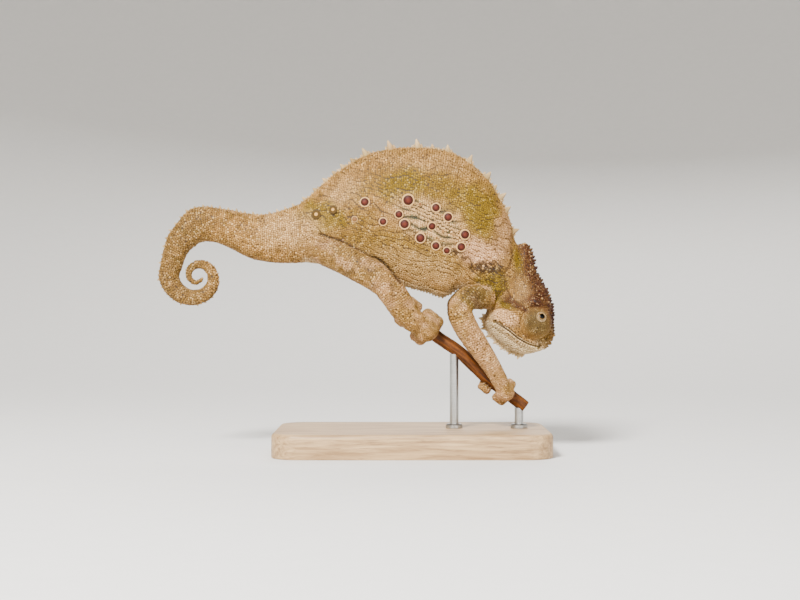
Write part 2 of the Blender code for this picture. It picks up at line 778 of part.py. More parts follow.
def make_chameleon():
    """Builds every node of the model."""
    body, trunk_rows, neck_rows = make_body()
    torso, neck = body["torso"], body["neck"]
    head, plain_head = make_head()
    stem = tube("perch", stem_rows())
    nodes = {**body, **head, "perch": stem}
    for side in (-1, 1):
        nodes.update(make_eye(side, plain_head))
        nodes.update(make_limbs(side, torso, neck, body["tail_1"], stem))
    fuse(torso, [*crest(trunk_rows, BACK_CREST), *belly_spines(trunk_rows), *flank_scutes(torso)])
    fuse(neck, crest(neck_rows, NAPE_CREST))
    cut_clear(neck, plain_head)
    nodes.update(make_stand(stem))
    remove(plain_head)
    return nodes


empty_the_scene()
pieces = new_collection("pieces")
finish(make_chameleon(), new_collection("eastern_cape_dwarf_chameleon"))
bpy.data.collections.remove(pieces)
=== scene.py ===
"""Looks of the Eastern Cape dwarf chameleon display model: skin, scales, crest, eyes, claws and stand.

Sizes and places are in millimetres unless a name says otherwise. The meshes are in metres.
"""
import math

import bmesh
import bpy
import numpy as np
from bpy.props import FloatProperty, FloatVectorProperty, IntProperty, PointerProperty
from mathutils import Matrix, Vector
from mathutils.bvhtree import BVHTree
from mathutils.kdtree import KDTree


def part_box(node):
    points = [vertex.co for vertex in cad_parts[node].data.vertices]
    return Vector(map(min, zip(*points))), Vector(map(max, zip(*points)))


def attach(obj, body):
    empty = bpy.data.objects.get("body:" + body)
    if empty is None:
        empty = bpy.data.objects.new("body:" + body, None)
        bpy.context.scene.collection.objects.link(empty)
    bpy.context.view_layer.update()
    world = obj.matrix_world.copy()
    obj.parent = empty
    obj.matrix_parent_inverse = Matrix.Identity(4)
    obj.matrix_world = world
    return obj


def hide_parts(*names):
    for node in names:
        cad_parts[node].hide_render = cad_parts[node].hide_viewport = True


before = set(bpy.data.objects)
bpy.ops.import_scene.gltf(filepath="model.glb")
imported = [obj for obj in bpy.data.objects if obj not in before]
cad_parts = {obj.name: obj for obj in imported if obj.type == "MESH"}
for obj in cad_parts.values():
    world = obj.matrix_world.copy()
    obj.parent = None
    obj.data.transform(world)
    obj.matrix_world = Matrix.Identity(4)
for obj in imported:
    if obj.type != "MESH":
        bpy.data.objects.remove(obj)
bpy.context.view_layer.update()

bl_info = {
    "name": "Dwarf chameleon display model",
    "version": (1, 0, 0),
    "blender": (4, 5, 0),
    "location": "View3D > Sidebar > Chameleon",
    "description": "Builds the skin, scales, eyes, stem and stand of the display model",
    "category": "Object",
}

MM = 0.001
ACROSS = np.array((0.0, 1.0, 0.0))

# A row of the body is one section: back x and z, belly x and z, and half width.
TAIL_ROWS = [
    (-47.2, 53.1, -42.2, 49.6, 2.5),
    (-44.2, 57.6, -40.1, 51.6, 2.8),
    (-41.6, 60.4, -39.0, 52.4, 3.1),
    (-38.2, 61.3, -37.4, 52.7, 3.2),
    (-34.7, 60.9, -34.7, 52.4, 3.3),
    (-30.9, 60.3, -30.9, 50.8, 3.5),
    (-26.4, 59.5, -26.4, 48.6, 3.8),
    (-21.9, 59.4, -21.9, 47.6, 4.0),
    (-17.7, 60.6, -16.9, 47.3, 4.1),
]
TORSO_ROWS = [
    (-13.9, 62.0, -12.4, 47.5, 4.3),
    (-9.4, 65.8, -6.4, 46.5, 4.8),
    (-3.9, 70.5, -0.9, 45.0, 5.4),
    (4.1, 74.8, 5.6, 43.3, 6.0),
    (14.1, 76.2, 12.1, 41.5, 6.3),
    (23.1, 75.2, 18.1, 40.0, 6.4),
    (28.6, 72.2, 22.1, 38.8, 6.3),
    (33.1, 68.0, 25.8, 41.0, 6.0),
    (36.1, 63.0, 28.8, 40.0, 5.6),
    (38.6, 57.5, 32.6, 36.0, 5.2),
]
NECK_ROWS = [
    (39.3, 54.0, 32.8, 34.5, 5.0),
    (41.0, 50.0, 35.2, 32.5, 4.4),
    (42.2, 46.5, 37.5, 31.5, 3.6),
]
HEAD_ROWS = [
    (42.6, 52.4, 40.8, 52.0, 0.9),
    (44.1, 49.0, 38.8, 48.8, 2.2),
    (44.8, 45.5, 37.6, 45.0, 3.8),
    (46.3, 42.3, 36.1, 40.8, 5.2),
    (48.0, 39.5, 34.1, 36.8, 6.2),
    (48.8, 36.5, 32.1, 33.3, 6.6),
    (49.0, 33.5, 33.6, 30.0, 6.2),
    (49.1, 30.8, 36.3, 27.1, 5.2),
    (48.9, 28.5, 39.6, 25.0, 4.2),
    (48.0, 26.8, 42.8, 24.6, 3.0),
    (46.8, 25.8, 45.3, 25.3, 1.2),
]
CURL_CENTRE = (-39.6, 44.0)
CURL_REACH = 7.2
CURL_HALF_DEPTH = 2.5
CURL_TURNS = 1.45
CURL_SHRINK_PER_TURN = 0.3
CURL_STEPS = 60
TAIL_FLATNESS = 0.85
BODY_EDGES = (1.25, 1.0)
TAIL_EDGES = (0.95, 0.9)
HEAD_EDGES = (0.62, 0.95)

# A row of a limb is its centre x, y and z, and its radius, on the animal's right side.
UPPER_ARM = [
    (33.0, -2.4, 39.0, 3.0),
    (31.3, -3.6, 38.8, 3.0),
    (28.1, -6.2, 38.5, 2.9),
    (25.9, -7.8, 36.6, 2.8),
]
FOREARM = [
    (25.9, -7.8, 36.6, 2.7),
    (26.1, -8.0, 34.3, 2.75),
    (27.6, -7.7, 31.0, 2.7),
    (30.1, -6.9, 27.1, 2.55),
    (32.8, -5.9, 23.0, 2.25),
    (34.9, -4.9, 19.6, 2.0),
]
THIGH = [
    (-10.2, -0.8, 51.4, 3.2),
    (-6.8, -2.4, 50.3, 3.9),
    (-2.5, -4.3, 48.3, 3.9),
    (3.1, -6.4, 45.0, 3.6),
    (7.1, -7.6, 42.4, 3.45),
]
SHANK = [
    (7.1, -7.6, 42.4, 3.3),
    (9.6, -7.3, 39.2, 3.3),
    (12.0, -6.3, 35.6, 3.15),
    (14.3, -5.4, 32.9, 2.8),
]
LIMBS = {"upper_arm": UPPER_ARM, "forearm": FOREARM, "thigh": THIGH, "shank": SHANK}
STEM = [
    (11.8, 35.8), (14.1, 33.9), (17.1, 31.3), (21.1, 28.3), (25.8, 25.1), (29.6, 21.5), (33.1, 18.3),
    (36.8, 15.5), (42.4, 11.3),
]
STEM_RADIUS = 1.6
STEM_CAD_STEPS = 2
GAP = 0.3

# Where each foot grips, from 0 at the stem's upper end to 1, its side, toe radius and palm size.
GRIPS = {
    "hand_right": (0.885, -1, 0.78, (2.2, 1.85, 2.2)),
    "hand_left": (0.77, 1, 0.74, (2.1, 1.75, 2.1)),
    "foot_right": (0.26, -1, 1.3, (3.3, 2.4, 3.4)),
    "foot_left": (0.06, 1, 1.0, (2.7, 2.1, 2.7)),
}
TOES = {"hand": (2, 3), "foot": (3, 2)}
TOE_SPACING = 1.25
TOE_START = math.radians(20)
TOE_END = math.radians(128)

# Spines along the back by the length from the tail's root, with each one's height.
BACK_CREST = [
    (1.7, 1.2), (5.2, 1.5), (8.7, 1.4), (11.6, 1.5), (14.2, 1.6), (17.1, 1.7), (20.7, 2.1), (27.0, 2.3),
    (33.8, 2.2), (37.5, 1.2), (41.3, 1.7), (47.3, 2.1), (53.2, 2.3), (56.4, 1.6), (59.3, 2.2), (62.7, 2.1),
    (68.3, 1.9),
]
SPINE_LEAN = 0.12
SMALL_LEAN = 0.1
TAIL_SPINE_STEP = 1.05

# The part of the head's lower line that carries the throat's lobes.
THROAT_PART = slice(28, 56)

# How finely curves are read, and the angles in degrees at which a limb's round end is cut into rings.
ROW_STEPS = 6
SECTION_SIDES = 64
TUBE_SIDES = 40
ROUND_END = (20, 40, 58, 73, 84)

# The round scutes on each flank: x, z, radius, and how red the middle is.
FLANK_SCUTES = [
    (2.4, 62.1, 1.3, 1), (13.1, 62.6, 1.6, 1), (19.9, 60.7, 1.25, 1), (22.9, 58.4, 1.3, 1),
    (10.8, 59.1, 1.15, 1), (12.2, 56.7, 1.4, 1), (6.9, 57.3, 1.1, 1), (18.9, 56.2, 1.15, 1),
    (27.0, 54.1, 1.35, 1), (16.1, 53.3, 1.4, 1), (19.9, 51.4, 1.2, 1), (22.6, 50.2, 1.0, 1),
    (26.1, 51.1, 1.3, 1), (-0.1, 57.9, 0.8, 0.75), (-5.4, 60.2, 1.05, 0.0), (-9.6, 59.1, 1.15, 0.0),
    (16.0, 61.5, 0.5, 0.8), (21.6, 55.0, 0.4, 0.6), (24.2, 54.1, 0.4, 0.6),
]
SCUTE_RISE = 0.16
SCUTE_PROBES = ((0, 0), (0.7, 0), (-0.7, 0), (0, 0.7), (0, -0.7))

MOUTH = [(28.0, 33.6), (34.6, 32.5), (37.6, 30.6), (40.3, 28.5), (43.1, 27.0), (45.6, 26.4), (50.0, 25.6)]
TURRET_CENTRE = np.array((44.6, 4.3, 32.5))
TURRET_RADIUS = 4.0
GAZE = np.array((1.1, 3.5, 1.35))
EYE_RADIUS = 1.15
EYE_DEPTH = 0.5
APERTURE = 0.86
NOSTRIL = (47.4, 28.3)

# The pale bulge behind the corner of the mouth: x, z, half length, half height and tilt in degrees.
JAW_BULGE = (37.2, 33.6, 3.0, 1.7, -20)

# Folds of the skin in the side view: the line, how deep it is and its half width.
FOLDS = {
    "thigh": ([(-8.7, 54.3), (-2.9, 52.3), (2.8, 49.3), (6.9, 47.3), (11.1, 42.0)], 0.5, 0.34),
    "hip": ([(-14.5, 55.0), (-10.5, 54.6), (-7.0, 52.2), (-5.5, 49.0)], 0.16, 0.4),
    "nape": ([(38.5, 54.0), (38.9, 50.5), (38.6, 47.5), (36.9, 44.2), (37.2, 41.2), (38.8, 38.4),
              (41.4, 36.6)], 0.26, 0.4),
    "shoulder": ([(27.6, 45.2), (31.0, 46.4), (34.0, 45.8), (36.4, 43.6)], 0.32, 0.45),
    "neck_upper": ([(34.2, 58.5), (35.4, 53.5), (35.6, 49.0), (34.4, 46.2)], 0.25, 0.45),
    "neck_lower": ([(30.6, 42.6), (33.4, 42.0), (35.4, 39.6), (36.0, 37.0)], 0.28, 0.4),
    "temple": ([(39.6, 43.2), (41.6, 41.4), (43.0, 41.6)], 0.2, 0.3),
    "chin": ([(33.9, 31.6), (36.9, 29.2), (40.0, 27.0), (43.6, 25.9)], 0.2, 0.3),
}

# Raised edges of the casque, over and behind the eye: the line, how high it is and its half width.
RIDGES = {
    "casque": ([(41.7, 51.6), (42.8, 46.0), (43.8, 41.0), (44.2, 37.6)], 0.38, 0.5),
    "brow": ([(43.4, 37.6), (45.6, 37.0), (47.6, 35.2)], 0.35, 0.5),
    "cheek": ([(39.6, 35.4), (41.0, 33.0), (42.0, 30.2)], 0.25, 0.5),
}

FURROW_SPACING = 1.5
FURROW_HALF_WIDTH = 0.38
LIP_WIDTH = 0.52

# The pale part of the flank where the furrows show: x, z, half width, half height, tilt and sharpness.
PALE_FLANK = (18.6, 57.2, 10.0, 4.9, -29, 3)

# Soft patches of colour in the side view: strength, x, z, half width, half height, tilt and sharpness.
TRUNK_OLIVE = [
    (0.95, 12.1, 66.2, 7.6, 5.0, 3, 3),
    (0.7, 20.5, 65.5, 7.0, 4.5),
    (0.8, 25.0, 62.2, 6.4, 3.2, -35, 3),
    (0.95, 30.4, 60.5, 5.2, 7.8, 25, 3),
    (0.95, -8.2, 58.7, 6.6, 4.4, -8, 3),
    (0.4, 1.0, 57.0, 5.0, 4.0),
    (0.5, 11.0, 50.4, 17.0, 5.4, -16, 3),
    (1.0, 34.0, 41.0, 4.0, 5.6, 0, 3),
    (0.5, 2.2, 65.2, 6.0, 3.4, 40),
]
TRUNK_PALE = [
    (0.8, *PALE_FLANK[:5]),
    # This pale band along the lower flank is partly the belly's own pale colour and partly painted light that
    # lifts the shade under the body.
    (0.35, 14.0, 46.0, 15.0, 4.0, -12),
    (0.2, 20.0, 71.8, 12.0, 2.4, -5),
    (0.4, -3.0, 64.5, 5.0, 3.5, 40),
    (0.5, -16.0, 55.0, 9.0, 5.0),
]
TRUNK_PINK = [(0.9, 30.8, 50.2, 6.0, 3.4, -8), (0.4, 36.6, 53.0, 2.4, 7.0, -10)]

# Patches of dark specks on the trunk: the same values, and how high the speckle is where they start.
TRUNK_SPECKS = [
    (0.9, 32.6, 45.9, 5.0, 1.7, -4, 3, -0.25),
    (0.5, 14.0, 54.0, 4.2, 1.8, -20, 2, 0.15),
    (0.6, 33.6, 41.6, 4.4, 5.0, 0, 3, 0.1),
    (0.85, 25.4, 49.4, 3.6, 1.1, -24, 2, -0.1),
]
WHITE_THROAT = [(32.1, 33.3), (33.6, 30.0), (36.3, 27.1), (39.6, 25.0), (42.8, 24.6), (45.5, 25.4)]
MARKS = ("olive", "pale", "pink", "brown", "rust", "grey", "white", "teal")
MARK_LAYERS = ("marks_a", "marks_b", "marks_c")
WHITE = MARKS.index("white")

ROD_X = {"stand_rod_rear": 24.6, "stand_rod_front": 40.8}
ROD_RADIUS = 1.1
COLLAR_RADIUS = 2.1
COLLAR_RISE = 0.8
BASE_CORNER = 7.0
BASE_EDGE = 1.0

# How scales lie, as shares of their spacing: how far each may stray, how close two may be, how far apart
# crowded ones are pushed and how hard, and how wide and tall a scale is.
STRAY = 0.34
CLOSEST = 0.56
WANTED = 1.1
PUSH = 0.42
PUSH_PASSES = 7
SCALE_EXTENT = np.array((0.56, 0.56, 0.6))
GRANULE_GAPS = (0.85, 1.1)
TUBERCLE_GAPS = (1.3, 1.5)
TUBERCLE_SHARE = 0.06
JAW_GAP = 1.4
FARTHEST_FROM_SKIN = 0.9
TRUNK_HALVES_X = 14.0

# Width of a scale's patch on the bake map, and the places of the lid's two rings of scales.
PATCH = 0.003
LID_RINGS = ((APERTURE, 15, 0.28, 0.0), (APERTURE + 0.27, 19, 0.06, 0.5))
LID_SCALE = 0.17
LIP_STEP = 0.62

# The casque's tubercles in four passes: size, number of tries and how far down the side they grow.
CASQUE_PASSES = ((0.74, 34, 0.0), (0.66, 240, 0.24), (0.5, 700, 0.36), (0.38, 900, 0.44))

IMAGE_WIDTH_PX = 800
MM_PER_PX = 0.25
CAMERA_DISTANCE = 400.0
CAMERA_AIM = (11.06, 0.0, 38.0)
SENSOR_WIDTH = 36.0

# Each lamp's place and width in metres, and its power in watts.
LAMPS = {
    "key_light": ((-0.20, -0.50, 0.46), 0.16, 15.5),
    "fill_light": ((0.34, -0.55, 0.07), 0.35, 3.0),
    "back_light": ((0.10, 0.55, 0.50), 0.45, 4.0),
}
LAMP_AIM = (0.005, 0, 0.045)
ROOM_LIGHT = 0.27

# The paper sweep in metres: its flat radius, the radius of its bend and its height.
SWEEP_FLAT = 0.3
SWEEP_BEND = 1.1
SWEEP_HEIGHT = 2.2
SWEEP_STEPS = 30

draw = np.random.default_rng(29)
made = {}


# Colours and materials

def linear(hex_colour):
    """Turns an sRGB hex colour into linear values."""
    values = [int(hex_colour[k:k + 2], 16) / 255 for k in (1, 3, 5)]
    return tuple(v / 12.92 if v <= 0.04045 else ((v + 0.055) / 1.055) ** 2.4 for v in values)


def tone(hex_colour):
    """Turns an sRGB hex colour into a four-part linear colour."""
    return (*linear(hex_colour), 1.0)


def colour_of(name):
    """Reads a colour setting as a four-part linear colour."""
    return (*getattr(bpy.context.scene.chameleon_colours, name), 1.0)


def add(tree, kind, settings=None, links=None):
    """Adds a node with its settings and its input values or links."""
    node = tree.nodes.new(kind)
    for name, value in (settings or {}).items():
        setattr(node, name, value)
    for name, value in (links or {}).items():
        socket = node.inputs[name]
        if isinstance(value, bpy.types.NodeSocket):
            tree.links.new(value, socket)
        else:
            socket.default_value = value
    return node


def new_material(name):
    """Makes a node material and gives its tree and shader."""
    material = bpy.data.materials.new(name)
    material.use_nodes = True
    tree = material.node_tree
    shader = tree.nodes["Principled BSDF"]
    return material, tree, shader


def mixed(tree, factor, first, second, blend="MIX"):
    """Mixes two colours."""
    node = add(tree, "ShaderNodeMix", {"data_type": "RGBA", "blend_type": blend}, {
        0: factor, 6: first, 7: second})
    return node.outputs[2]


def own_place(tree):
    """Gives the place on the piece itself, in metres."""
    return add(tree, "ShaderNodeTexCoord").outputs["Object"]


def attribute(tree, name, output="Fac"):
    """Reads a value, colour or vector that the mesh carries."""
    return add(tree, "ShaderNodeAttribute", {"attribute_name": name}).outputs[output]


def noise(tree, size, detail=3.0, vector=None):
    """Gives a noise whose lumps are about size millimetres across, on the piece's own place in space."""
    if vector is None:
        vector = own_place(tree)
    node = add(tree, "ShaderNodeTexNoise", links={
        "Vector": vector, "Scale": 1.0 / (size * MM), "Detail": detail, "Roughness": 0.6})
    return node.outputs["Fac"]


def span(tree, value, low, high, first=0.0, last=1.0):
    """Turns the range from low to high into the range from first to last."""
    node = add(tree, "ShaderNodeMapRange", links={
        "Value": value, "From Min": low, "From Max": high, "To Min": first, "To Max": last})
    return node.outputs["Result"]


def toned(tree, value, stops):
    """Turns a value into a colour, by stops of a value and an sRGB colour."""
    node = add(tree, "ShaderNodeValToRGB", links={"Fac": value})
    elements = node.color_ramp.elements
    elements[0].position = stops[0][0]
    elements[1].position = stops[-1][0]
    for place, _ in stops[1:-1]:
        elements.new(place)
    for element, (_, colour) in zip(elements, stops):
        element.color = tone(colour)
    return node.outputs["Color"]


def grained(tree, shader, height, strength, depth):
    """Raises the surface by a value, to a depth in millimetres."""
    bump = add(tree, "ShaderNodeBump", links={"Height": height, "Strength": strength, "Distance": depth * MM})
    tree.links.new(bump.outputs["Normal"], shader.inputs["Normal"])


def marked_colour(tree):
    """Mixes the markings over the ground colour, and gives it with each scale's lightness, which also carries
    painted shade at each scale's base and in the furrows and painted light at its crown.
    """
    masks = []
    for name in MARK_LAYERS:
        split = add(tree, "ShaderNodeSeparateColor", links={"Color": attribute(tree, name, "Color")})
        masks += [split.outputs[k] for k in range(3)]
    patch = span(tree, noise(tree, 2.4, 4.0), 0.3, 0.7)
    colour = mixed(tree, patch, colour_of("ground"), colour_of("ground_light"))
    for name, mask in zip(MARKS, masks):
        colour = mixed(tree, mask, colour, colour_of(name))
    return colour, masks[len(MARKS)]


def skin_material():
    """Chameleon skin between the scales: thin, matt and darker than the scales, partly by its own colour and
    partly as painted shade in the crevices, with fine creases.
    """
    material, tree, shader = new_material("chameleon_skin_between_scales")
    colour, _ = marked_colour(tree)
    # Partly the skin's own darker colour, partly painted shade in the crevices between the scales.
    dark = mixed(tree, 1.0, colour, colour_of("between"), "MULTIPLY")
    tree.links.new(dark, shader.inputs["Base Color"])
    shader.inputs["Roughness"].default_value = 0.62
    shader.inputs["Specular IOR Level"].default_value = 0.35
    grained(tree, shader, noise(tree, 0.3, 4.0), 0.5, 0.12)
    return material


def scale_material(name, roughness, grain_size):
    """Keratin scales: a little waxy, each with its own lightness, darker at the base as painted shade and
    tinted pale at the crown as a painted highlight, with a fine grain.
    """
    material, tree, shader = new_material(name)
    colour, shade = marked_colour(tree)
    # Dark scales and the base of every scale turn towards the dark colour: partly darker scales, partly
    # painted shade at the scale bases.
    low = mixed(tree, 1.0, colour, colour_of("scale_shadow"), "MULTIPLY")
    lit = mixed(tree, shade, low, colour)
    # The crowns of the lightest scales take a pale tint: partly pale scale tips, partly a painted highlight
    # on the crowns.
    light = mixed(tree, 0.24, colour, colour_of("scale_light"))
    tree.links.new(mixed(tree, span(tree, shade, 0.62, 1.0), lit, light), shader.inputs["Base Color"])
    shader.inputs["Roughness"].default_value = roughness
    shader.inputs["Specular IOR Level"].default_value = 0.15
    grained(tree, shader, noise(tree, grain_size), 0.35, 0.06)
    return material


def eye_material():
    """Wet eye: a black pupil in a thin gold brown iris, under a clear glossy surface."""
    material, tree, shader = new_material("wet_eye")
    stops = ((0.0, "#020201"), (0.36, "#040302"), (0.41, "#6b4c1f"), (0.50, "#3a2610"), (0.62, "#0d0906"))
    tree.links.new(toned(tree, attribute(tree, "from_pupil"), stops), shader.inputs["Base Color"])
    shader.inputs["Roughness"].default_value = 0.1
    shader.inputs["Specular IOR Level"].default_value = 0.12
    return material


def scute_material():
    """Raised flank scute: a domed maroon middle, darker at its rim as painted shade and lighter at its top as
    a painted highlight, in a cream ring, or a tan middle in a brown ring.
    """
    material, tree, shader = new_material("flank_scute")
    middle = attribute(tree, "middle")
    redness = attribute(tree, "redness")
    # Painted shade at the rim of the maroon dome and a painted highlight on its top.
    lit = mixed(tree, span(tree, middle, 0.45, 0.9), colour_of("maroon_dark"), colour_of("maroon"))
    core = mixed(tree, redness, colour_of("ground_light"), lit)
    rim = mixed(tree, 0.85, colour_of("olive"), colour_of("brown"))
    ring = mixed(tree, redness, rim, colour_of("ring"))
    inner = span(tree, middle, 0.0, 0.4)
    tree.links.new(mixed(tree, inner, ring, core), shader.inputs["Base Color"])
    shader.inputs["Roughness"].default_value = 0.55
    shader.inputs["Specular IOR Level"].default_value = 0.15
    grained(tree, shader, noise(tree, 0.35), 0.3, 0.08)
    return material


def claw_material():
    """Horn claw: dark brown and smooth."""
    material, tree, shader = new_material("horn_claw")
    colour = mixed(tree, noise(tree, 0.5), tone("#5a4632"), tone("#8c7454"))
    tree.links.new(colour, shader.inputs["Base Color"])
    shader.inputs["Roughness"].default_value = 0.3
    return material


def stem_material():
    """Dry leaf stem: orange brown bark with darker lengthwise streaks and small dark cracks."""
    material, tree, shader = new_material("leaf_stem_bark")
    # One unit of stem_place is one streak of the grain, so the noise is one unit across.
    streak = noise(tree, 1.0 / MM, 5.0, attribute(tree, "stem_place", "Vector"))
    bark = toned(tree, streak, ((0.33, "#221004"), (0.68, "#6f3d0c")))
    cells = add(tree, "ShaderNodeTexVoronoi", {"feature": "DISTANCE_TO_EDGE"}, {
        "Vector": own_place(tree), "Scale": 1.0 / (1.3 * MM)})
    crack = span(tree, cells.outputs["Distance"], 0.0, 0.12, 0.35, 0.0)
    bark = mixed(tree, crack, bark, tone("#3a1a0c"))
    whole = mixed(tree, attribute(tree, "cut_end"), bark, tone("#c79a5e"))
    tree.links.new(whole, shader.inputs["Base Color"])
    shader.inputs["Roughness"].default_value = 0.6
    shader.inputs["Specular IOR Level"].default_value = 0.2
    grained(tree, shader, streak, 0.6, 0.15)
    return material


def drawn_out(tree, scale):
    """Gives the piece's own place, stretched by a scale of its own along each axis."""
    return add(tree, "ShaderNodeMapping", links={"Vector": own_place(tree), "Scale": scale}).outputs["Vector"]


def base_material():
    """Oiled oak plate: straight grain along its length with darker pores."""
    material, tree, shader = new_material("oiled_oak_base")
    place = drawn_out(tree, (60.0, 900.0, 900.0))
    grain = add(tree, "ShaderNodeTexNoise", links={
        "Vector": place, "Scale": 1.0, "Detail": 6.0, "Roughness": 0.62, "Distortion": 0.4}).outputs["Fac"]
    pores = add(tree, "ShaderNodeTexNoise", links={"Vector": place, "Scale": 3.2, "Detail": 2.0})
    wood = toned(tree, grain, ((0.36, "#8a6a44"), (0.66, "#c4a274")))
    hole = span(tree, pores.outputs["Fac"], 0.62, 0.75, 0.0, 0.6)
    tree.links.new(mixed(tree, hole, wood, tone("#5b4027")), shader.inputs["Base Color"])
    shader.inputs["Roughness"].default_value = 0.5
    grained(tree, shader, grain, 0.25, 0.1)
    return material


def rod_material():
    """Brushed stainless rod: fine rings of tool marks round it."""
    material, tree, shader = new_material("brushed_steel_rod")
    lathe = add(tree, "ShaderNodeTexNoise", links={
        "Vector": drawn_out(tree, (300.0, 300.0, 9000.0)), "Scale": 1.0}).outputs["Fac"]
    tree.links.new(mixed(tree, lathe, tone("#8f8f8d"), tone("#b9b9b6")), shader.inputs["Base Color"])
    shader.inputs["Metallic"].default_value = 1.0
    shader.inputs["Roughness"].default_value = 0.32
    grained(tree, shader, lathe, 0.2, 0.02)
    return material


def floor_material():
    """Plain matt pale paper sweep."""
    material, tree, shader = new_material("pale_paper_sweep")
    colour = mixed(tree, noise(tree, 6.0), tone("#dedbd6"), tone("#e4e1dc"))
    tree.links.new(colour, shader.inputs["Base Color"])
    shader.inputs["Roughness"].default_value = 0.9
    return material


# Curves and forms

def smooth_rows(rows, steps):
    """Reads more rows from the smooth curve through the given ones."""
    rows = np.array(rows, dtype=float)
    padded = np.vstack([2 * rows[0] - rows[1], rows, 2 * rows[-1] - rows[-2]])
    fine = []
    for a, b, c, d in zip(padded, padded[1:], padded[2:], padded[3:]):
        for k in range(steps):
            t = k / steps
            curve = 2 * b + (c - a) * t + (2 * a - 5 * b + 4 * c - d) * t ** 2
            fine.append((curve + (3 * b - a - 3 * c + d) * t ** 3) / 2)
    fine.append(rows[-1])
    return np.array(fine)


def lengths_along(line):
    """Measures the length along a line up to each of its points."""
    return np.concatenate([[0.0], np.cumsum(np.linalg.norm(np.diff(line, axis=0), axis=1))])


def curl_rows():
    """Works out the sections of the tail's curled end, from its tip outwards."""
    rows = []
    for step in range(CURL_STEPS + 1):
        turns = CURL_TURNS * (1 - step / CURL_STEPS)
        shrink = CURL_SHRINK_PER_TURN ** turns
        angle = math.pi + 2 * math.pi * turns
        across = np.array((math.cos(angle), math.sin(angle)))
        back = CURL_CENTRE + across * (CURL_REACH + CURL_HALF_DEPTH) * shrink
        belly = CURL_CENTRE + across * (CURL_REACH - CURL_HALF_DEPTH) * shrink
        rows.append((*back, *belly, CURL_HALF_DEPTH * TAIL_FLATNESS * shrink))
    return rows


def tail_rows():
    """Lists the sections of the whole tail, from its tip to the trunk."""
    curl = curl_rows()
    return np.array([*curl, *smooth_rows([curl[-1], *TAIL_ROWS, TORSO_ROWS[0]], ROW_STEPS)[1:]])


def turned_over(rows):
    """Smooths rows of sections and swaps back and belly, so that points grow from the lower line."""
    fine = smooth_rows(rows, ROW_STEPS)
    return np.concatenate([fine[:, 2:4], fine[:, 0:2]], axis=1)


def unit(vectors):
    """Scales vectors to length one."""
    vectors = np.asarray(vectors, dtype=float)
    return vectors / np.maximum(np.linalg.norm(vectors, axis=-1, keepdims=True), 1e-12)


def section_grid(rows, edges):
    """Places rings of points for sections whose edges may change from row to row."""
    turn = 2 * np.pi * np.arange(SECTION_SIDES) / SECTION_SIDES
    down = (1 - np.cos(turn)) / 2
    swing = np.sin(turn)
    grid = []
    for row, (top, low) in zip(rows, edges):
        blunt = top + (low - top) * down
        side = np.sign(swing) * np.abs(swing) ** blunt * row[4]
        ring = np.stack([row[0] + (row[2] - row[0]) * down, side, row[1] + (row[3] - row[1]) * down], axis=1)
        grid.append(ring)
    return np.array(grid)


def tube_grid(rows, sides=TUBE_SIDES):
    """Places rings of points round a limb's rows of x, y, z and radius."""
    rows = np.array(rows, dtype=float)
    ahead = unit(np.gradient(rows[:, :3], axis=0))
    right = unit(np.cross(ahead[0], (0.3, 1.0, 0.2)))
    turn = 2 * np.pi * np.arange(sides) / sides
    grid = []
    for row, way in zip(rows, ahead):
        right = unit(right - way * np.dot(right, way))
        up = np.cross(way, right)
        grid.append(row[:3] + row[3] * (np.outer(np.cos(turn), right) + np.outer(np.sin(turn), up)))
    return np.array(grid)


def round_off(rows):
    """Adds a round end to a limb's rows."""
    before, last = np.array(rows[-2]), np.array(rows[-1])
    ahead = unit((last - before)[:3])
    ends = [(*(last[:3] + ahead * last[3] * math.sin(math.radians(t))), last[3] * math.cos(math.radians(t)))
            for t in ROUND_END]
    return [*rows, *ends]


def ball_grid(centre, sizes, axis, rings=24):
    """Places rings of points over an egg shape, round an axis."""
    axis = unit(axis)
    right = unit(np.cross(axis, (0.2, 0.1, 1.0)))
    up = np.cross(axis, right)
    turn = 2 * np.pi * np.arange(TUBE_SIDES) / TUBE_SIDES
    grid = []
    for lean in np.linspace(0.06, math.pi - 0.06, rings):
        ring = math.cos(lean) * axis + math.sin(lean) * (
            np.outer(np.cos(turn), right) + np.outer(np.sin(turn), up))
        grid.append(np.array(centre) + ring * np.array(sizes))
    return np.array(grid)


def mirrored(rows):
    """Takes a limb's rows to the left side."""
    return [(x, -y, z, radius) for x, y, z, radius in rows]


def grip_frame(where):
    """Finds a place on the stem's middle, and the directions along it and square to it."""
    rows = smooth_rows(STEM, STEM_CAD_STEPS)
    k = where * (len(rows) - 1)
    low = min(int(k), len(rows) - 2)
    start, end = (np.array((rows[n][0], 0.0, rows[n][1])) for n in (low, low + 1))
    along = unit(end - start)
    return start + (end - start) * (k - low), along, np.array((-along[2], 0.0, along[0]))


def toe_rows(name):
    """Works out the arc of each toe of a foot round the stem."""
    where, side, radius, _ = GRIPS[name]
    middle, along, above = grip_frame(where)
    out = ACROSS * side
    reach = STEM_RADIUS + GAP + radius
    toes = []
    for bundle, way in zip(TOES[name.split("_")[0]], (1, -1)):
        for k in range(bundle):
            offset = along * (k - (bundle - 1) / 2) * TOE_SPACING * radius
            rows = []
            for turn in np.linspace(TOE_START, TOE_END, 9):
                place = middle + offset + (out * math.cos(turn) + above * way * math.sin(turn)) * reach
                rows.append((*place, radius * (1.15 - 0.25 * (turn - TOE_START) / (TOE_END - TOE_START))))
            toes.append(rows)
    return toes


def palm_place(name):
    """Finds the middle of a palm beside the stem."""
    where, side, _, sizes = GRIPS[name]
    middle, _, _ = grip_frame(where)
    return middle + ACROSS * side * (STEM_RADIUS + GAP + sizes[1])


